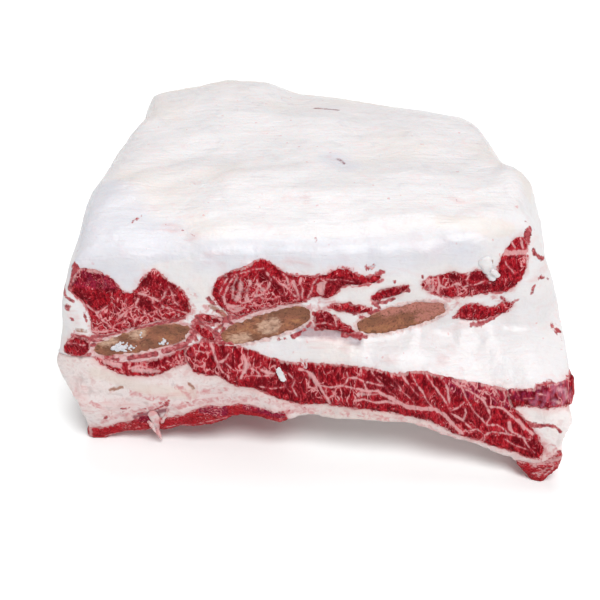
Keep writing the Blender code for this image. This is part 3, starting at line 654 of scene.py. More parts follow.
        "blush": drawn(
            (4, 4, (-100, 20), (-80, 24), (-60, 28), (-30, 31)), (3, 3, (-115, 34), (-113, 20)),
            (1.5, 1.5, (-100, 22), (-90, 15)), (1, 1, (-57, 24), (-50, 28)), (1, 1, (-30, 28), (-5, 26)),
            (1, 1, (109, 20), (112, 12)), (1, 1, (-60, 34), (-57, 31))),
        "blood": drawn(
            (.35, .2, (-103, 13.5), (-100.5, 16.5), (-97.5, 18.2)), (.35, .25, (-94, 20.2), (-90, 20.6)),
            (.3, .2, (-93.6, 18), (-91.5, 19.6)),
            (.5, .4, (-70.6, 26), (-72.4, 23.4), (-76, 21.2), (-80, 18.6)),
            (.4, .3, (-74.8, 24.4), (-73, 25.4)), (.3, .3, (-83.7, 17.6), (-86.4, 16.4)),
            (.2, .15, (-70, 26), (-72, 22)), (.3, .2, (-4.5, 26), (-4, 25.4)),
            (.2, .15, (-62, 25.5), (-60.5, 24)),
            (1, .6, (101, 29.2), (105.5, 29.1), (109, 30), (112.7, 29.6), (114.6, 28)),
            (1.5, 1.1, (97, 31.6), (100, 29.6), (102.5, 28.8)), (.8, .5, (114.6, 18), (115.2, 15.5)),
            (.6, .4, (111, 13.5), (112.5, 11.5)), (.3, .2, (-86, 19), (-82, 20.5))),
        "flesh": drawn(
            (1, .8, (-104, 11.6), (-97, 14.4), (-90, 16.6), (-82, 19.6), (-75, 24)),
            (.9, .8, (-74, 21), (-62, 23.6), (-50, 25.4)),
            (.8, .6, (-50, 25.6), (-36, 28), (-25, 29.4), (-14, 26)),
            (.9, .8, (-12, 24), (5, 25), (25, 26), (40, 24), (55, 21), (70, 15), (85, 9), (97, 5)),
            (2, 2, (-99, 49.6), (-91, 48.4), (-82, 49), (-74, 50.6), (-63, 55)),
            (.6, .5, (-58, 30), (-50, 31), (-42, 33)), (.5, .4, (-88, 30), (-80, 27.6), (-72, 27)),
            (.5, .4, (-108, 24), (-102, 20)), (.5, .4, (-66, 34), (-62, 31), (-60, 28)),
            (.9, .7, (108.5, 20), (110, 16), (112.5, 13)), (.7, .6, (112.6, 19.5), (114, 16)),
            (.4, .3, (-14, 26), (-6, 27))),
        "bruise": drawn(
            (1.3, 1.6, (-84.5, 15.8), (-80, 16.8), (-76.8, 17.8)), (1.1, .6, (-76, 18.6), (-71.8, 20.4)),
            (.7, 1, (-88, 14.4), (-84, 15.6))),
        "cream": drawn((1, 1, (-105, 42), (-80, 32), (-60, 30))),
        "tint_and_shade": drawn((5, 4, (98, 35), (108, 33), (113, 26)))},
    "rib_left": {
        "cream": drawn((.3, .2, (-84, 63.4), (-81.4, 65.4)), (.15, .1, (-99, 58.6), (-95, 60))),
        "smear": drawn(
            (1, .8, (-85, 61), (-81, 64), (-78, 64.6)), (1.2, 1, (-101, 57.5), (-96, 59.5)),
            (.8, .6, (-72, 60), (-66, 62.5))),
        "dark": drawn(
            (1.4, 1.2, (-98, 54), (-94, 56)), (1.6, 1.4, (-92, 60.5), (-86, 61)),
            (1.2, 1, (-80, 57), (-74, 58)), (1.2, 1, (-64, 66), (-60, 65)),
            (1.4, 1, (-74, 65), (-70, 66)))},
    "rib_middle": {
        "smear": drawn((2.4, 3, (-40, 61.6), (-32, 64), (-24, 67)), (1, .8, (-14, 68.5), (-8, 70.6))),
        "cream": drawn(
            (.4, .3, (-24, 67.2), (-20.5, 69.4), (-17.6, 69.6)), (.2, .2, (-22, 65.6), (-18.6, 67.4)),
            (.2, .1, (-38, 60.4), (-32, 61.6))),
        "dark": drawn(
            (1.2, 1.6, (-20, 73.4), (-12, 75.6), (-5, 75.4)), (1, 1, (-28, 60.8), (-20, 62.5)),
            (1.2, 1, (-4, 72.5), (-3, 75)))},
    "rib_right": {
        "smear": drawn((1, .8, (24, 66), (34, 67)), (.8, .6, (46, 68.6), (54, 71.5))),
        "blush": drawn(
            (2.2, 1.8, (34, 76), (44, 77.6), (52, 77.4), (58, 75.6)), (.8, .6, (50, 70.5), (55, 72))),
        "dark": drawn(
            (.9, .7, (36, 72), (46, 73.6), (52, 74)), (1, .8, (26, 69.5), (32, 71)),
            (.8, .6, (44, 69.5), (50, 71)))},
}


def painted(piece: bpy.types.Object, node: str, names: tuple[str, ...]) -> dict[str, np.ndarray]:
    """Works out the drawn marks of a piece and writes them for its finish.

    Args:
        piece: The piece.
        node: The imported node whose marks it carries.
        names: The marks that its finish reads.

    Returns:
        Each mark's value per vertex: from 0 to 1 for a soft mark, a distance for a crisp one.
    """
    places, normals = points_of(piece), normals_of(piece)
    here, section = from_section(places), section_of(places, normals)
    plans = {Plane.CUT: section, Plane.TOP: here[:, :2]}
    near_front = (1 - soft((here[:, 1] - 4) / 4)) * (1 - soft((section[:, 1] - 88) / 6))
    facing = {Plane.CUT: np.maximum(soft((np.abs(normals[:, 1]) - 0.1) / 0.3), near_front),
              Plane.TOP: soft((normals[:, 2] - 0.2) / 0.4)}
    values = {}
    for name in names:
        strokes = MARKS.get(node, {}).get(name, ())
        fade = FADE.get(name, FAR)
        shown = np.full(len(places), fade)
        for plane in Plane:
            gap = stroke_gap(plans[plane], tuple(s for s in strokes if s.plane is plane), fade)
            if node.startswith("fat"):
                gap += (fade - gap) * (1 - facing[plane])
            shown = np.minimum(shown, gap)
        values[name] = soft(1 - shown / fade) if name in FADE else shown
        mark(piece, name, values[name])
    return values


# ---- casting a piece from its solid --------------------------------------------------------------
@dataclass
class Cutter:
    """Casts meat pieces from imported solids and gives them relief.

    Args:
        voxel: Edge length of the cast mesh.
        smoothing: Rounds of smoothing after the cast.
        swell: How far the piece swells into the fine gap to its neighbours.
        overlap: How far joined solids swell into each other.
        kept: Share of the hidden faces that stays.
    """

    voxel: float = 1.1
    smoothing: int = 4
    swell: float = 0.32
    overlap: float = 0.35
    kept: float = 0.05

    def cast(self, name: str, nodes: tuple[str, ...]) -> bpy.types.Object:
        """Joins copies of solids into one closed, evenly meshed piece.

        Args:
            name: The new piece's name.
            nodes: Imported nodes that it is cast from.

        Returns:
            The piece, in place.
        """
        overlap = self.overlap if len(nodes) > 1 else 0.0
        parts = []
        for node in nodes:
            part = bpy.data.objects.new(name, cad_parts[node].data.copy())
            bpy.context.scene.collection.objects.link(part)
            part.data.materials.clear()
            take(part)
            bpy.ops.object.mode_set(mode="EDIT")
            bpy.ops.mesh.select_all(action="SELECT")
            bpy.ops.mesh.remove_doubles(threshold=0.00001)
            bpy.ops.object.mode_set(mode="OBJECT")
            if overlap:
                apply(part, "DISPLACE", strength=overlap * MM, mid_level=0.0)
            parts.append(part)
        piece = join(parts)
        piece.name = piece.data.name = name
        apply(piece, "REMESH", mode="VOXEL", voxel_size=self.voxel * MM, use_smooth_shade=True)
        apply(piece, "DISPLACE", strength=(self.swell - overlap) * MM, mid_level=0.0)
        apply(piece, "SMOOTH", factor=0.5, iterations=self.smoothing)
        return piece

    def thin(self, piece: bpy.types.Object, others: tuple[str, ...]) -> None:
        """Leaves few faces on the walls that neighbours cover.

        Args:
            piece: The cast piece.
            others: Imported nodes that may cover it.
        """
        places, normals = points_of(piece), normals_of(piece)
        covered = gaps_to(skin_of(*others), places, 3.0) < 0.9
        covered &= np.abs(normals[:, 1]) < 0.45
        share = float(np.mean(covered))
        if share < 0.1:
            return
        weigh(piece, "covered", covered.astype(float))
        apply(piece, "DECIMATE", ratio=1 - share * (1 - self.kept), vertex_group="covered")
        piece.vertex_groups.clear()

    def refine(self, piece: bpy.types.Object) -> None:
        """Divides the faces of the two cut ends once more.

        Args:
            piece: The cast piece.
        """
        take(piece)
        faces = piece.data.polygons
        wanted = np.abs(vectors(faces, "normal")[:, 1]) > 0.3
        bpy.ops.object.mode_set(mode="EDIT")
        bpy.ops.mesh.select_all(action="DESELECT")
        bpy.ops.mesh.select_mode(type="FACE")
        bpy.ops.object.mode_set(mode="OBJECT")
        faces.foreach_set("select", wanted)
        bpy.ops.object.mode_set(mode="EDIT")
        bpy.ops.mesh.subdivide(number_cuts=1)
        bpy.ops.mesh.select_all(action="DESELECT")
        bpy.ops.object.mode_set(mode="OBJECT")

    def cut_free(self, node: str, name: str) -> tuple[bpy.types.Object, np.ndarray]:
        """Casts one node, with few faces where its neighbours cover it.

        Args:
            node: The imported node.
            name: The new piece's name.

        Returns:
            The piece, and the distance of each vertex from the neighbours.
        """
        others = tuple(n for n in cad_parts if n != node)
        piece = self.cast(name, (node,))
        self.thin(piece, others)
        self.refine(piece)
        return piece, gaps_to(skin_of(*others), points_of(piece), FAR)

    def roughen(self, piece: bpy.types.Object, size: float, height: float) -> None:
        """Raises and sinks the surface by a noise.

        Args:
            piece: The piece.
            size: Size of the lumps.
            height: Highest point over lowest.
        """
        lumps = bpy.data.textures.new("lumps", "CLOUDS")
        lumps.noise_scale = size * MM
        apply(piece, "DISPLACE", texture=lumps, strength=height * MM, mid_level=0.5)
        bpy.data.textures.remove(lumps)

    def seat(self, piece: bpy.types.Object, nodes: tuple[str, ...], slot: str,
             finish: bpy.types.Material) -> None:
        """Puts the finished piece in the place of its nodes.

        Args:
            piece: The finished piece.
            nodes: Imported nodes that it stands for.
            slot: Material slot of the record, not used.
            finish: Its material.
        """
        piece.data.materials.clear()
        piece.data.materials.append(finish)
        places = points_of(piece)
        places[:, 2] = np.maximum(places[:, 2], 0)
        put(piece, places)
        take(piece)
        bpy.ops.object.shade_smooth()
        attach(piece, "root")
        if nodes:
            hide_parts(*nodes)
        LOG.info("%s: %d faces", piece.name, len(piece.data.polygons))


# ---- finishes ------------------------------------------------------------------------------------
class Coat:
    """A material in the making, whose colour is laid on in layers over a body colour."""

    def __init__(self, name: str, body: str) -> None:
        """Starts the material.

        Args:
            name: Material name.
            body: Body colour, an sRGB hex value.
        """
        self.material = bpy.data.materials.new(name)
        self.material.use_nodes = True
        self.tree = self.material.node_tree
        self.tree.nodes.clear()
        self.place = add(self.tree, "ShaderNodeTexCoord").outputs["Object"]
        self.colour = linear(body)

    def ragged(self, name: str, noise: Socket, spread: float) -> Socket:
        """A mark of the piece, made uneven by a noise.

        Args:
            name: The mark.
            noise: A noise around a half.
            spread: How far the noise moves the mark's value.

        Returns:
            The uneven mark.
        """
        value = add(self.tree, "ShaderNodeAttribute", {"attribute_name": name}).outputs["Fac"]
        sway = add(self.tree, "ShaderNodeMath", {"operation": "SUBTRACT"}, {0: noise, 1: 0.5}).outputs[0]
        return add(self.tree, "ShaderNodeMath", {"operation": "MULTIPLY_ADD"}, {
            0: sway, 1: spread, 2: value}).outputs[0]

    def lay(self, source: Socket, low: float, high: float, code: str, most: float,
            held: Socket | None = None) -> Socket:
        """Lays a colour over the coat where a pattern lies past a value.

        Args:
            source: The pattern.
            low: Its value where the layer starts.
            high: Its value where the layer is full.
            code: Colour of the layer, an sRGB hex value.
            most: How much of the colour a full layer has.
            held: Amount that the layer is kept within.

        Returns:
            How much of the layer shows.
        """
        shown = add(self.tree, "ShaderNodeMapRange", {"interpolation_type": "SMOOTHSTEP"}, {
            "Value": source, "From Min": low, "From Max": high, "To Max": most}).outputs[0]
        if held is not None:
            shown = add(self.tree, "ShaderNodeMath", {"operation": "MULTIPLY"}, {
                0: shown, 1: held}).outputs[0]
        self.colour = add(self.tree, "ShaderNodeMix", {"data_type": "RGBA"}, {
            0: shown, 6: self.colour, 7: linear(code)}).outputs[2]
        return shown

    def close(self, height: Socket, strength: float, depth: float, look: dict) -> bpy.types.Material:
        """Gives the coat its relief and its shader.

        Args:
            height: Pattern of the relief.
            strength: How strongly the relief shows.
            depth: Depth of the relief.
            look: The shader's other settings.

        Returns:
            The finished material.
        """
        bump = add(self.tree, "ShaderNodeBump", None, {
            "Height": height, "Strength": strength, "Distance": depth * MM}).outputs[0]
        skin = add(self.tree, "ShaderNodeBsdfPrincipled", None, {
            "Base Color": self.colour, "Normal": bump, **look}).outputs[0]
        add(self.tree, "ShaderNodeOutputMaterial", None, {"Surface": skin})
        return self.material


@dataclass(frozen=True)
class FatFinish:
    """Raw beef fat, trimmed with a knife: opaque white, waxy, with a thin wet film.

    It yellows and blushes in soft patches, shows faint fibres where a membrane was pulled off, and is
    stained red along the lean and tan along the bone.

    Args:
        name: Material name.
        body: Shade of clean fat.
        cream: Shade of the yellowed patches.
        blush: Shade of the pink patches.
        shade: Colour of the hollows, painted shade where the lobes and fibres sink in the relief.
        tint_and_shade: Colour of the drawn tint, painted shade where it runs along the brow of the cut.
        wine: Shade of blood.
        tan: Shade beside the bone.
        stain: How strongly it is pink beside the lean, 0 to 1.
        mottle: How strongly its lobes show, 0 to 1.
    """

    name: str
    body: str
    cream: str
    blush: str
    shade: str = "#dcd7da"
    tint_and_shade: str = "#ced0dc"
    wine: str = "#a81b29"
    tan: str = "#d7a29c"
    stain: float = 0.45
    mottle: float = 0.5

    def make(self) -> bpy.types.Material:
        """Builds the material."""
        coat = Coat(self.name, self.body)
        tree, place = coat.tree, coat.place
        # the fibres run across the rack and a little back
        along = add(tree, "ShaderNodeMapping", None, {
            "Vector": place, "Rotation": (0.0, 0.0, math.radians(-16)),
            "Scale": (0.13, 1.0, 1.0)}).outputs[0]
        # patches 42 mm across, fat lobes of 9 mm, grain of 1.7 mm, fibres 2.6 mm apart, the torn edges
        # of stains at 2.8 mm, and seldom flecks of blood
        drift, lobes, grain, fibre, chew, fleck = (
            add(tree, "ShaderNodeTexNoise", None, {
                "Vector": vector, "Scale": pitch(size), "Detail": detail, "Roughness": rough,
                "Distortion": twist}).outputs["Fac"]
            for vector, size, detail, rough, twist in (
                (place, 42, 2.0, 0.5, 0.0), (place, 9, 5.0, 0.62, 0.6), (place, 1.7, 3.0, 0.5, 0.0),
                (along, 2.6, 4.0, 0.65, 0.5), (place, 2.8, 2.5, 0.55, 0.8), (place, 3.2, 1.0, 0.5, 0.0)))
        # painted shade: the shade colour in the hollows of the lobes and fibres, the patterns that make the
        # bump below; cream, blush, the chew shade and the flecks are the fat's own mottle
        for source, low, high, code, most in (
                (drift, 0.5, 0.7, self.cream, 0.45), (lobes, 0.46, 0.3, self.shade, self.mottle),
                (lobes, 0.52, 0.75, self.blush, self.mottle),
                (chew, 0.44, 0.3, self.shade, 0.5 * self.mottle),
                (chew, 0.56, 0.7, self.blush, 0.5 * self.mottle), (fibre, 0.45, 0.3, self.shade, 0.35),
                (fibre, 0.55, 0.75, self.blush, 0.45), (fleck, 0.74, 0.8, "#d98a8c", 0.5)):
            coat.lay(source, low, high, code, most)
        # within a stain: darker hollows, and paler threads or beads
        red_inside = (("#6a0814", 0.48, 0.36, 0.8), ("#d08a8b", 0.55, 0.63, 0.75))
        rim_inside = (("#8a7078", 0.46, 0.36, 0.6), ("#f0e6e4", 0.55, 0.63, 0.7))
        fringe_inside = (("#9a1c28", 0.46, 0.36, 0.5), ("#d08a8b", 0.55, 0.63, 0.7))
        # soft marks grow with their value, and crisp ones as their distance shrinks
        for name, noise, spread, low, high, code, most, within in (
                # grey tint of the drawn strokes, painted shade along the brow of the cut
                ("tint_and_shade", lobes, 0.8, 0.2, 1.2, self.tint_and_shade, 0.5, ()),
                ("cream", lobes, 0.8, 0.3, 1.2, self.cream, 0.6, ()),
                # painted shadow under the lean's lower edge, laid over the drawn crease
                ("shaded_crease", chew, 0.8, 0.1, 1.25, "#937a86", 0.8, ()),
                ("lean_gap", lobes, 8.0, 3.0 + 4.0 * (self.stain - 0.45), -1.5, "#d9a29f", self.stain, ()),
                ("bone_gap", chew, 3.6, 1.8, 0.2, self.tan, 0.65, rim_inside),
                ("lean_gap", chew, 3.4, 0.9, 0.0, "#cd6f72", 0.6, ()),
                ("blush", fibre, 2.4, 0.4, 1.8, "#d59a98", 0.4, ()),
                ("flesh", chew, 3.4, 0.5, 1.5, "#cb7b7d", 0.7, ()),
                ("smear", chew, 1.6, 0.5, 1.1, "#96562f", 0.85, ()),
                ("bruise", chew, 2.8, 1.3, -0.3, "#7c1230", 0.85, ()),
                ("blood", chew, 2.6, 0.4, -0.3, self.wine, 0.93, red_inside),
                ("lean_gap", chew, 3.6, 0.45, -0.05, "#b2303c", 0.8, fringe_inside)):
            held = None
            if high > low:
                value = add(tree, "ShaderNodeAttribute", {"attribute_name": name}).outputs["Fac"]
                held = add(tree, "ShaderNodeMapRange", {"interpolation_type": "SMOOTHSTEP"}, {
                    "Value": value, "From Min": 0.0, "From Max": 0.4}).outputs[0]
            shown = coat.lay(coat.ragged(name, noise, spread), low, high, code, most, held)
            for inner_code, start, end, amount in within:
                coat.lay(grain, start, end, inner_code, amount, shown)
        height = lobes
        for source, share in ((grain, 0.3), (fibre, 0.75)):
            height = add(tree, "ShaderNodeMath", {"operation": "MULTIPLY_ADD"}, {
                0: source, 1: share, 2: height}).outputs[0]
        wet = add(tree, "ShaderNodeMapRange", None, {
            "Value": lobes, "From Min": 0.35, "From Max": 0.7, "To Min": 0.32, "To Max": 0.52}).outputs[0]
        return coat.close(height, 0.55, 1.0, {
            "Roughness": wet, "IOR": 1.45, "Subsurface Weight": 0.25, "Subsurface Radius": (1.0, 0.62, 0.5),
            "Subsurface Scale": 2.5 * MM, "Coat Weight": 0.18, "Coat Roughness": 0.22})


@dataclass(frozen=True)
class LeanFinish:
    """Raw beef lean, cut across the fibres: wet dark red bundles in a net of pale fat.

    Args:
        name: Material name.
        deep: Colour of the hollows, painted shade where chew and grain sink in the relief, and dark mottle
            elsewhere.
        red: Shade of most bundles.
        bright: Shade of bundles that met the air.
        fat: Shade of the net.
        bundle: Width of a bundle.
        stretch: How much longer bundles are up the cut than across it.
        lean_over: Degrees by which the bundles lean to the left.
        net: How much of the coarse net shows, 0 to 1.
        frost: How much fine fat lies within the bundles, 0 to 1.
        coarse: How strongly the deep colour of the grain shows, which is painted shade in its hollows.
    """

    name: str
    deep: str = "#620410"
    red: str = "#a31320"
    bright: str = "#b8222f"
    fat: str = "#e6a4a4"
    bundle: float = 3.6
    stretch: float = 1.3
    lean_over: float = 12.0
    net: float = 0.5
    frost: float = 0.5
    coarse: float = 1.12

    def make(self) -> bpy.types.Material:
        """Builds the material."""
        coat = Coat(self.name, self.red)
        tree = coat.tree
        # fibres run from front to back, so every pattern is drawn out in that direction
        run = add(tree, "ShaderNodeMapping", None, {
            "Vector": coat.place, "Rotation": (0.0, math.radians(self.lean_over), 0.0),
            "Scale": (1.0, 0.12, 1.0 / self.stretch)}).outputs[0]
        # the bundles sway and ripple by up to these lengths in metres
        bent = run
        for size, reach_m in ((5.0, 0.008), (1.9, 0.002)):
            sway = add(tree, "ShaderNodeTexNoise", None, {
                "Vector": run, "Scale": pitch(size), "Detail": 2.0}).outputs["Color"]
            bent = add(tree, "ShaderNodeVectorMath", {"operation": "MULTIPLY_ADD"}, {
                0: sway, 1: (reach_m, reach_m, reach_m), 2: bent}).outputs[0]
        drawn_out = add(tree, "ShaderNodeMapping", None, {
            "Vector": bent, "Scale": (1.0, 1.0, 0.3)}).outputs[0]
        # drifts of colour 13 mm across, patches of 7 mm, torn edges of 2.4 mm, clumps of 2 mm, grain of
        # 0.9 mm, fibres as fine, and the winding of the fine web
        drift, patch, chew, clump, grain, streak, wind = (
            add(tree, "ShaderNodeTexNoise", None, {
                "Vector": vector, "Scale": pitch(size), "Detail": detail, "Roughness": rough,
                "Distortion": twist}).outputs["Fac"]
            for vector, size, detail, rough, twist in (
                (run, 13, 3.0, 0.55, 0.0), (run, 7, 3.0, 0.6, 0.0), (run, 2.4, 3.0, 0.55, 0.5),
                (run, 2.0, 3.0, 0.65, 0.7), (run, 0.9, 3.0, 0.6, 0.0), (drawn_out, 0.9, 2.0, 0.5, 0.0),
                (bent, 1.3 * self.bundle, 2.5, 0.55, 0.0)))
        bundles, edges = (
            add(tree, "ShaderNodeTexVoronoi", {"feature": feature}, {
                "Vector": bent, "Scale": pitch(self.bundle), "Randomness": 1.0}).outputs[output]
            for feature, output in (("F1", "Color"), ("DISTANCE_TO_EDGE", "Distance")))
        # the web follows the middle value of a noise, so its threads wind and branch
        web = add(tree, "ShaderNodeMath", {"operation": "ABSOLUTE"}, {
            0: add(tree, "ShaderNodeMath", {"operation": "MULTIPLY_ADD"}, {
                0: wind, 1: 4.0, 2: -2.0}).outputs[0]}).outputs[0]

        wide_marks = {name: coat.ragged(name, patch, spread) for name, spread in (
            ("bright", 1.4), ("dark", 1.4), ("veil", 1.2), ("net", 1.0))}
        for name, high, code, most in (
                ("bright", 1.0, "#bc1a27", 0.45), ("dark", 1.0, "#4e0412", 0.65),
                ("veil", 0.9, "#6b1c44", 0.7)):
            coat.lay(wide_marks[name], 0.35, high, code, most)
        # painted shade: the deep colour in the hollows of chew and grain, the patterns that make the bump
        # below; painted highlight: the pale tops of the grain; drifts, bundles, clumps and streaks are the
        # lean's own mottle
        for source, low, high, code, most in (
                (drift, 0.5, 0.7, self.bright, 0.5), (bundles, 0.45, 0.9, self.bright, 0.35),
                (bundles, 0.4, 0.05, self.deep, 0.5), (chew, 0.5, 0.36, self.deep, 0.75 * self.coarse),
                (clump, 0.5, 0.34, self.deep, 0.85 * self.coarse), (clump, 0.53, 0.68, "#cc3641", 0.65),
                (streak, 0.5, 0.36, self.deep, 0.7 * self.coarse), (streak, 0.56, 0.7, "#d65c62", 0.45),
                (grain, 0.47, 0.35, self.deep, 0.5 * self.coarse), (grain, 0.58, 0.7, "#d4525a", 0.4)):
            coat.lay(source, low, high, code, most)
        # the fat is wider where the net is drawn, and thinner where the cut is bright or dark
        dense = patch
        for name, low, high, share in (
                ("net", 0.2, 0.9, 0.14), ("bright", 0.35, 1.0, -0.15), ("dark", 0.35, 1.0, -0.15)):
            step = add(tree, "ShaderNodeMapRange", {"interpolation_type": "SMOOTHSTEP"}, {
                "Value": wide_marks[name], "From Min": low, "From Max": high}).outputs[0]
            dense = add(tree, "ShaderNodeMath", {"operation": "MULTIPLY_ADD"}, {
                0: step, 1: share, 2: dense}).outputs[0]
        # fat between the bundles: a soft glow, the fine web, then the threads
        for wall, least, wide, blur, code, most in (
                (edges, -0.05, 0.08 + 0.04 * self.net, 0.08, "#c6404b", 0.5),
                (web, -0.08, 0.04 + 0.06 * self.frost, 0.07, "#cb6066", 0.4 + 0.4 * self.frost),
                (edges, 0.03 * self.net - 0.075, 0.04 + 0.03 * self.net, 0.04, self.fat, 0.8)):
            width = add(tree, "ShaderNodeMapRange", None, {
                "Value": dense, "From Min": 0.34, "From Max": 0.7,
                "To Min": least, "To Max": wide}).outputs[0]
            inside = add(tree, "ShaderNodeMath", {"operation": "SUBTRACT"}, {0: wall, 1: width}).outputs[0]
            uneven = add(tree, "ShaderNodeMath", {"operation": "MULTIPLY_ADD"}, {
                0: grain, 1: 0.2, 2: inside}).outputs[0]
            coat.lay(uneven, 0.1 + blur, 0.1 - blur, code, most)
        # the drawn seams with a red fringe, the rim beside other pieces, and a lilac haze
        for name, spread, low, high, code, most in (
                ("seam", 2.6, 0.9, 0.0, "#c84c56", 0.35), ("pale", 3.6, 0.4, -1.0, "#dfafaf", 0.75),
                ("seam", 2.2, 0.2, -0.4, "#dfa6a6", 0.85), ("rim", 5.0, 0.9, -0.2, "#d8a2a1", 0.75),
                ("haze", 3.2, 0.4, 1.6, "#bb7f98", 0.5)):
            coat.lay(coat.ragged(name, chew, spread), low, high, code, most)
        # painted highlights: pale glints 0.9 mm across where clumps and grain peak, standing in for light
        # off the wet cut
        painted_glints = add(tree, "ShaderNodeMath", {"operation": "MULTIPLY_ADD"}, {
            0: clump, 1: 0.5, 2: grain}).outputs[0]
        coat.lay(painted_glints, 0.95, 1.02, "#efcfd0", 0.5)

        height = add(tree, "ShaderNodeMapRange", {"interpolation_type": "SMOOTHSTEP"}, {
            "Value": edges, "From Min": 0.0, "From Max": 0.3}).outputs[0]
        for source, share in ((grain, 0.5), (chew, 1.2)):
            height = add(tree, "ShaderNodeMath", {"operation": "MULTIPLY_ADD"}, {
                0: source, 1: share, 2: height}).outputs[0]
        wet = add(tree, "ShaderNodeMapRange", None, {
            "Value": grain, "From Min": 0.3, "From Max": 0.7, "To Min": 0.2, "To Max": 0.34}).outputs[0]
        return coat.close(height, 0.7, 0.7, {"Roughness": wet, "IOR": 1.36, "Specular IOR Level": 0.06})


@dataclass(frozen=True)
class BoneFinish:
    """Sawn beef rib: brown porous marrow inside a thin cream wall.

    The marrow is smeared by the saw, darker and more olive in patches, with specks 0.7 mm across,
    drawn as coarse as 1 mm so that they show.

    Args:
        name: Material name.
        marrow: Shade of the marrow.
        shade: Shade of its hollows.
        smear: Shade of what the saw smeared.
        wall: Shade of the rib's wall.
    """

    name: str
    marrow: str = "#9a604a"
    shade: str = "#6b4632"
    smear: str = "#b37c52"
    wall: str = "#c98c80"

    def make(self) -> bpy.types.Material:
        """Builds the material."""
        coat = Coat(self.name, self.marrow)
        tree = coat.tree
        run = add(tree, "ShaderNodeMapping", None, {
            "Vector": coat.place, "Rotation": (0.0, math.radians(15), 0.0),
            "Scale": (0.6, 0.3, 1.0)}).outputs[0]
        # clouds of 5 mm, drag marks of the saw 2 mm apart along the rib's long side, and specks
        cloud, drag, speck = (
            add(tree, "ShaderNodeTexNoise", None, {
                "Vector": vector, "Scale": pitch(size), "Detail": detail, "Roughness": rough,
                "Distortion": twist}).outputs["Fac"]
            for vector, size, detail, rough, twist in (
                (run, 5, 5.0, 0.7, 0.4), (run, 2.0, 4.0, 0.65, 0.8), (coat.place, 1.0, 3.0, 0.7, 0.0)))
        for source, low, high, code, most in (
                (cloud, 0.5, 0.3, self.shade, 0.6), (cloud, 0.54, 0.74, self.smear, 0.6),
                (drag, 0.48, 0.34, self.shade, 0.8), (drag, 0.54, 0.7, self.smear, 0.65),
                (speck, 0.48, 0.32, "#4c3026", 0.8), (speck, 0.6, 0.74, "#b8906f", 0.6)):
            coat.lay(source, low, high, code, most)
        for name, noise, spread, low, high, code, most in (
                ("smear", drag, 3.0, 0.5, 1.9, self.smear, 0.7),
                ("dark", speck, 2.4, 0.2, 1.5, self.shade, 0.6),
                ("blush", speck, 2.4, 0.3, 1.3, "#c47e74", 0.8),
                ("cream", drag, 2.4, 0.3, 1.3, "#d9b7a0", 0.8),
                ("rim", cloud, 3.2, 1.0, 0.1, self.wall, 0.85),
                ("rim", speck, 2.2, 0.4, -0.2, "#dfc3bb", 0.8)):
            coat.lay(coat.ragged(name, noise, spread), low, high, code, most)
        return coat.close(speck, 0.7, 0.5, {"Roughness": 0.55, "IOR": 1.5, "Specular IOR Level": 0.25})


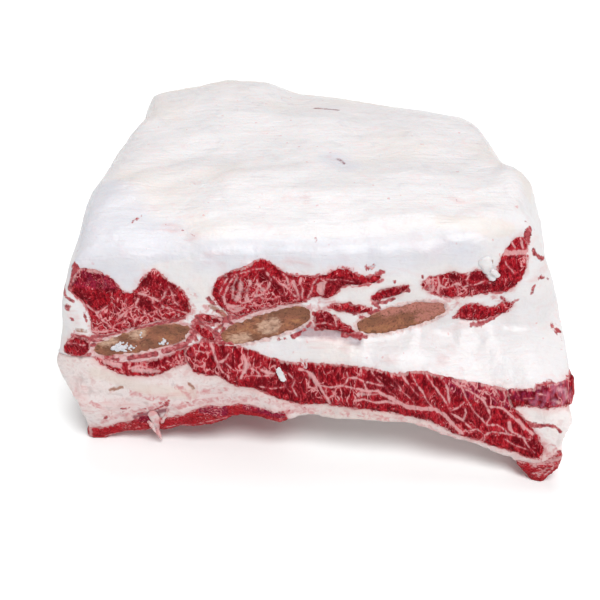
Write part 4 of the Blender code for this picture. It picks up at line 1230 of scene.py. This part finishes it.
# ---- sub-assemblies ------------------------------------------------------------------------------
@dataclass
class FatLayer(Cutter):
    """A fat layer: one block that the lean and the ribs lie sunk in.

    Args:
        sink: How deep the block's surface lies behind the lean and the ribs.
        raised: Height of the drawn swells.
        shaded_crease: Depth of the drawn creases, whose painted shadow the finish lays on.
        lumps: Height of the soft lumps.
        lip: How far the walls at the other fat swell towards it.
        corner: How far the back left corner of the cover moves back and up.
    """

    voxel: float = 1.5
    smoothing: int = 6
    swell: float = 0.15
    sink: float = 1.1
    raised: float = 1.0
    shaded_crease: float = 0.8
    lumps: float = 1.0
    lip: float = 0.7
    corner: tuple[float, float] = (6.0, 4.0)

    def build(self, node: str, lean: tuple[str, ...], ribs: tuple[str, ...], others: tuple[str, ...],
              slot: str, finish: bpy.types.Material) -> None:
        """Casts and dresses the layer.

        Args:
            node: The layer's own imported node.
            lean: Packed lean that is sunk in it.
            ribs: Packed ribs that are sunk in it.
            others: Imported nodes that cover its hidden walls.
            slot: Material slot of the record.
            finish: The fat's material.
        """
        piece = self.cast(node + "_cut", (node,) + lean + ribs)
        self.thin(piece, others)
        self.refine(piece)
        self.soften_brow(piece)
        places, normals = points_of(piece), normals_of(piece)
        to_fat, to_lean, to_bone = (
            gaps_to(skin_of(*nodes), places, FAR) for nodes in ((node,), lean, RIBS))
        ragged = tremble(places, 2.8)
        beside = np.minimum(to_lean, to_bone)
        # what belongs to the lean or the ribs sinks, and the fat swells a little beside it
        sunk = soft((to_fat - 0.5 - 0.9 * ragged) / 1.3) * (beside < 0.9)
        drawn_on = painted(piece, node, FAT_MARKS)
        lift = (drawn_on["swell"] * self.raised - drawn_on["shaded_crease"] * self.shaded_crease) * (1 - sunk)
        lift += 0.5 * ragged * soft((2.5 - beside) / 2) * (1 - sunk) - sunk * self.sink
        lift += self.lip * soft((2.5 - gaps_to(skin_of(*others), places, 3.0)) / 2)
        put(piece, places + normals * (lift * MM)[:, None])
        self.raise_corner(piece)
        for size, share in ((26.0, 1.0), (10.0, 0.6), (3.5, 0.2)):
            self.roughen(piece, size, share * self.lumps)
        mark(piece, "lean_gap", to_lean)
        mark(piece, "bone_gap", to_bone)
        self.seat(piece, (node,), slot, finish)

    def raise_corner(self, piece: bpy.types.Object) -> None:
        """Lifts the back left corner of the cover, which stands higher than the rest of its edge.

        Args:
            piece: The fat layer.
        """
        places = points_of(piece)
        x, y, z = from_section(places).T
        share = soft((y - 110) / 80) * soft((-6 - x) / 24) * soft((z - 96) / 12)
        back, up = self.corner
        put(piece, places + share[:, None] * ((0, back * MM, up * MM),))

    def soften_brow(self, piece: bpy.types.Object) -> None:
        """Rounds the edge between the cut face and the cover, where the knife left no corner.

        Args:
            piece: The fat layer.
        """
        x, y, z = from_section(points_of(piece)).T
        near = soft((z - 98) / 5) * soft((26 - y + 8 * soft((x - 10) / 90)) / 12) * soft((100 - x) / 12)
        if near.max() < 0.1:
            return
        weigh(piece, "brow", near)
        apply(piece, "SMOOTH", factor=0.5, iterations=90, vertex_group="brow")
        piece.vertex_groups.clear()


@dataclass
class Muscles(Cutter):
    """Muscles of one kind, each cast from its own solid.

    Args:
        bulge: How far a muscle swells out of the cut in its middle.
    """

    voxel: float = 1.1
    smoothing: int = 3
    swell: float = 0.8
    bulge: float = 0.45

    def build(self, nodes: tuple[str, ...], slot: str, finish: bpy.types.Material) -> None:
        """Casts and dresses each muscle.

        Args:
            nodes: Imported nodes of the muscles.
            slot: Material slot of the record.
            finish: The lean's material.
        """
        for node in nodes:
            piece, rim = self.cut_free(node, node + "_cut")
            places, normals = points_of(piece), normals_of(piece)
            put(piece, places + normals * (soft(rim / 4.0) * self.bulge * MM)[:, None])
            self.roughen(piece, 5.0, 0.8)
            self.roughen(piece, 1.8, 0.5)
            mark(piece, "rim", rim)
            painted(piece, node, LEAN_MARKS)
            self.seat(piece, (node,), slot, finish)


@dataclass
class RibRow(Cutter):
    """The three sawn ribs.

    Args:
        hollow: How deep the marrow lies below the rib's wall.
        worn: How much thinner each rib's pale wall looks, in millimetres.
    """

    voxel: float = 1.0
    hollow: float = 0.5
    worn: tuple[float, float, float] = (0.0, 0.7, 0.1)

    def build(self, finish: bpy.types.Material) -> None:
        """Casts and dresses each rib.

        Args:
            finish: The bone's material.
        """
        for node, worn in zip(RIBS, self.worn):
            piece, rim = self.cut_free(node, node + "_sawn")
            places, normals = points_of(piece), normals_of(piece)
            put(piece, places - normals * (soft((rim - 0.6) / 1.4) * self.hollow * MM)[:, None])
            self.roughen(piece, 1.6, 0.35)
            mark(piece, "rim", rim + worn)
            painted(piece, node, BONE_MARKS)
            self.seat(piece, (node,), "rib_bone", finish)


@dataclass(frozen=True)
class Shred:
    """A loose bit of fat on the cut face.

    Args:
        name: Name of the piece.
        path: Its middle line in the section, across and up.
        widths: Half width at each point of the line.
        thick: Half thickness.
        proud: How far its middle stands off the face.
    """

    name: str
    path: tuple[tuple[float, float], ...]
    widths: tuple[float, ...]
    thick: float
    proud: float


SHREDS = (
    Shred("fat_drip", ((77.6, 100.6), (79.4, 96.4), (81.6, 92.4), (83.6, 88.4)), (3.4, 3.0, 2.2, 1.6),
          1.5, 0.5),
    Shred("fat_drip_lobe", ((81.4, 95.0), (83.6, 93.0), (85.6, 90.4)), (1.4, 1.6, 1.0), 1.1, 0.7),
    Shred("fat_fleck", ((-16.6, 48.8), (-15.6, 45.0), (-13.9, 40.6)), (1.5, 2.0, 1.1), 0.4, 0.15),
    Shred("strand", ((-79.6, 19.6), (-77.6, 14.0), (-78.2, 8.6), (-75.4, 2.0)), (2.6, 2.3, 1.8, 0.6),
          0.8, 0.5),
    Shred("strand_left", ((-81.6, 13.4), (-79.4, 10.6), (-77.6, 6.4)), (1.0, 1.0, 0.6), 0.6, 0.5),
    Shred("strand_right", ((-70.6, 23.0), (-72.4, 17.0), (-75.2, 12.0)), (0.5, 0.7, 0.8), 0.4, 0.4),
    Shred("tag_left", ((-4.4, 49.4), (-5.2, 51.6), (-6.4, 53.8)), (0.6, 0.4, 0.2), 0.25, 0.1),
    Shred("tag_right", ((-3.8, 49.4), (-3.4, 51.4), (-4.2, 53.4)), (0.6, 0.4, 0.2), 0.25, 0.1),
    Shred("tag_upper", ((24.6, 99.2), (26.4, 98.0), (28.0, 99.0)), (0.5, 0.7, 0.4), 0.4, 0.2),
)
# crumbs on the first rib: place across and up, and size
CRUMBS = (
    (-94.4, 56, 1.5), (-93, 57, 1.3), (-92.4, 55.2, 1.5), (-91, 56.4, 1.3), (-90.4, 55, 1.1),
    (-89.4, 56.2, 1.1), (-95.6, 55.2, .9), (-93.6, 54.4, .9), (-88.6, 57.2, 1), (-87.4, 55.4, .9),
    (-89.4, 54, .9), (-91.6, 58.2, 1), (-90.2, 58.8, .7), (-86.4, 56.6, .8), (-85.2, 55.6, .6),
    (-86.6, 54.4, .6), (-88, 58.6, .6), (-84.2, 56.8, .5), (-71.4, 58.2, 1.1), (-70.4, 59.4, 1),
    (-72.8, 57.8, .8), (-69.2, 58.2, .7), (-71, 60.4, .6), (-81.6, 63.2, .7), (-81.2, 61.8, .5),
    (-81, 64.4, .5))


@dataclass
class Trimmings(Cutter):
    """Loose bits of fat that lie on the cut face: drips, strands, tags and bone dust."""

    def on_face(self, across: float, up: float) -> Vector:
        """Place on the front of the rack at a point of the section.

        Args:
            across: Millimetres to the right in the section.
            up: Millimetres up.

        Returns:
            The place, in metres.
        """
        in_front_m = -0.4
        start = Vector(((across + SECTION_X) * MM, in_front_m, max(up, 0.5) * MM))
        scene, graph = bpy.context.scene, bpy.context.evaluated_depsgraph_get()
        hit, place = scene.ray_cast(graph, start, (0, 1, 0))[:2]
        return place if hit else Vector((start.x, SECTION_Y * MM, start.z))

    def finish_bit(self, piece: bpy.types.Object, name: str, slot: str,
                   finish: bpy.types.Material) -> None:
        """Names a bit, marks it as clean fat and seats it.

        Args:
            piece: The bit.
            name: Its name.
            slot: Material slot of the record.
            finish: Its material.
        """
        piece.name = piece.data.name = name
        clean = {"blood": FAR, "bruise": FAR, "lean_gap": FAR, "bone_gap": FAR,
                 "flesh": 1.3 * name.startswith(("strand", "tag")), "tint_and_shade": 1.5 * name.startswith("bone")}
        for key, value in clean.items():
            mark(piece, key, np.full(len(piece.data.vertices), value))
        self.seat(piece, (), slot, finish)

    def build(self, finish: bpy.types.Material, tissue: bpy.types.Material) -> None:
        """Builds the shreds and the dust.

        Args:
            finish: The cover fat's material.
            tissue: The seam fat's material, for the hanging strands.
        """
        for shred in SHREDS:
            middles = [self.on_face(*point) for point in shred.path]
            bpy.ops.mesh.primitive_uv_sphere_add(segments=20, ring_count=28, radius=1)
            piece = bpy.context.object
            ball = points_of(piece)
            knots = np.linspace(-1, 1, len(middles))
            middle = np.stack([np.interp(ball[:, 2], knots, line) for line in zip(*middles)], -1)
            wide = np.interp(ball[:, 2], knots, shred.widths) * MM
            course = np.array(middles[-1] - middles[0])
            across = np.cross(course / np.linalg.norm(course), (0, 1, 0))
            girth = np.maximum(np.sqrt(np.clip(1 - ball[:, 2] ** 2, 0, 1)), 1e-6)
            rounded = np.minimum(girth * 1.6, 1) / girth
            places = middle + across * (ball[:, 0] * rounded * wide)[:, None]
            places[:, 1] += (ball[:, 1] * rounded * shred.thick - shred.proud) * MM
            put(piece, places)
            self.roughen(piece, 2.4, 1.3)
            self.roughen(piece, 0.9, 0.4)
            slot, own = ("base_fat", tissue) if shred.name.startswith("strand") else ("cover_fat", finish)
            self.finish_bit(piece, shred.name, slot, own)
        grains = []
        for number, (across, up, size) in enumerate(CRUMBS):
            place = self.on_face(across, up)
            bpy.ops.mesh.primitive_ico_sphere_add(subdivisions=3, radius=1, location=place)
            grain = bpy.context.object
            grain.rotation_euler = (0.3 * math.sin(7 * number), 1.3 * number, 0.4 * math.cos(5 * number))
            grain.scale = (1.15 * size * MM, 0.45 * size * MM, 0.8 * size * MM)
            bpy.ops.object.transform_apply(location=True, rotation=True, scale=True)
            grains.append(grain)
        join(grains)
        apply(grains[0], "REMESH", mode="VOXEL", voxel_size=0.25 * MM, use_smooth_shade=True)
        self.roughen(grains[0], 0.7, 1.0)
        self.finish_bit(grains[0], "bone_dust", "cover_fat", finish)


# ---- the stage -----------------------------------------------------------------------------------
def turn_to(place: tuple[float, float, float], aim: tuple[float, float, float]) -> Euler:
    """Turn of a camera or a light that looks from a place at another."""
    return (Vector(aim) - Vector(place)).to_track_quat("-Z", "Y").to_euler()


@dataclass
class Studio:
    """Pale floor, soft white light and a camera at the photograph's angle.

    Args:
        eye_m: Where the camera stands.
        aim_m: What it looks at.
        lens: Focal length on a 36 mm frame.
        shift: How far the picture is moved within its frame, across and up.
        sky: Strength of the even white light.
        glow: Strength of the paper's own light, as on a light table.
    """

    eye_m: tuple[float, float, float] = (0.001467, -0.601465, 0.380951)
    aim_m: tuple[float, float, float] = (0.001467, -0.092636, 0.063)
    lens: float = 76.6
    shift: tuple[float, float] = (-0.0233, 0.0583)
    sky: float = 0.14
    glow: float = 0.1

    def build(self) -> None:
        """Sets up camera, floor, world and lights."""
        camera = bpy.data.objects.new("camera", bpy.data.cameras.new("camera"))
        bpy.context.scene.collection.objects.link(camera)
        camera.location = self.eye_m
        camera.rotation_euler = turn_to(self.eye_m, self.aim_m)
        camera.data.lens = self.lens
        camera.data.shift_x, camera.data.shift_y = self.shift
        camera.data.clip_start = 0.01
        bpy.context.scene.camera = camera
        bpy.context.scene.view_settings.view_transform = "Standard"

        bpy.ops.object.select_all(action="DESELECT")
        bpy.ops.mesh.primitive_plane_add(size=8, location=(0, 0, -0.0002))
        floor = bpy.context.object
        floor.name = "floor"
        paper = bpy.data.materials.new("matt_white_paper")
        paper.use_nodes = True
        skin = paper.node_tree.nodes["Principled BSDF"]
        skin.inputs["Base Color"].default_value = linear("#f8fafa")
        skin.inputs["Roughness"].default_value = 0.9
        skin.inputs["Emission Color"].default_value = (1, 1, 1, 1)
        skin.inputs["Emission Strength"].default_value = self.glow
        floor.data.materials.append(paper)
        floor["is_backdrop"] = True

        world = bpy.data.worlds.new("soft_white")
        world.use_nodes = True
        bpy.context.scene.world = world
        sky = world.node_tree.nodes["Background"]
        sky.inputs["Color"].default_value = (1, 1, 1, 1)
        sky.inputs["Strength"].default_value = self.sky
        # two broad lights, so distant that they light all of the paper alike
        for name, place, strength in (
                ("key", (0.2, -0.5, 0.95), 2.56), ("back_soft", (0.0, 0.5, 1.0), 1.24)):
            lamp = bpy.data.lights.new(name, "SUN")
            lamp.angle = math.radians(35)
            lamp.energy = strength
            light = bpy.data.objects.new(name, lamp)
            bpy.context.scene.collection.objects.link(light)
            light.location = place
            light.rotation_euler = turn_to(place, (0, 0, 0.05))


def main() -> None:
    """Builds the rack and its stage in order."""
    logging.basicConfig(level=logging.INFO, format="%(name)s %(message)s")
    Studio().build()
    cover = FatFinish("raw_beef_cover_fat", "#e6e3e4", "#e6dcd4", "#e6d0d0").make()
    base = FatFinish("raw_beef_seam_fat", "#e6dad8", "#dccbbf", "#d4a9a7", shade="#cbbbb9",
                     tint_and_shade="#f8f4f4", stain=0.7, mottle=0.95).make()
    lean = LeanFinish("raw_beef_rib_lean").make()
    plate = LeanFinish("raw_beef_plate_lean", bundle=4.4, stretch=2.1, lean_over=36.0, frost=0.0).make()
    skirt = LeanFinish("raw_beef_skirt_lean", red="#b2262b", bundle=2.8, stretch=0.5, coarse=0.45).make()
    bone = BoneFinish("sawn_beef_rib_bone").make()
    FatLayer(voxel=1.75).build("fat_cap", UPPER_LEAN + LOWER_LEAN, RIBS, ("fat_base",), "cover_fat", cover)
    FatLayer(lumps=1.6).build("fat_base", LOWER_LEAN + SKIRTS, (), ("fat_cap",), "base_fat", base)
    Muscles().build(UPPER_LEAN, "upper_lean", lean)
    Muscles().build(LOWER_LEAN, "lower_lean", plate)
    Muscles().build(SKIRTS, "skirt_lean", skirt)
    RibRow().build(bone)
    Trimmings().build(cover, base)
    for name, box in (("cad", CAD_BOX), ("visual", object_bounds())):
        LOG.info("%s box %s", name, [[round(v, 4) for v in corner] for corner in box])


if __name__ == "__main__":
    main()
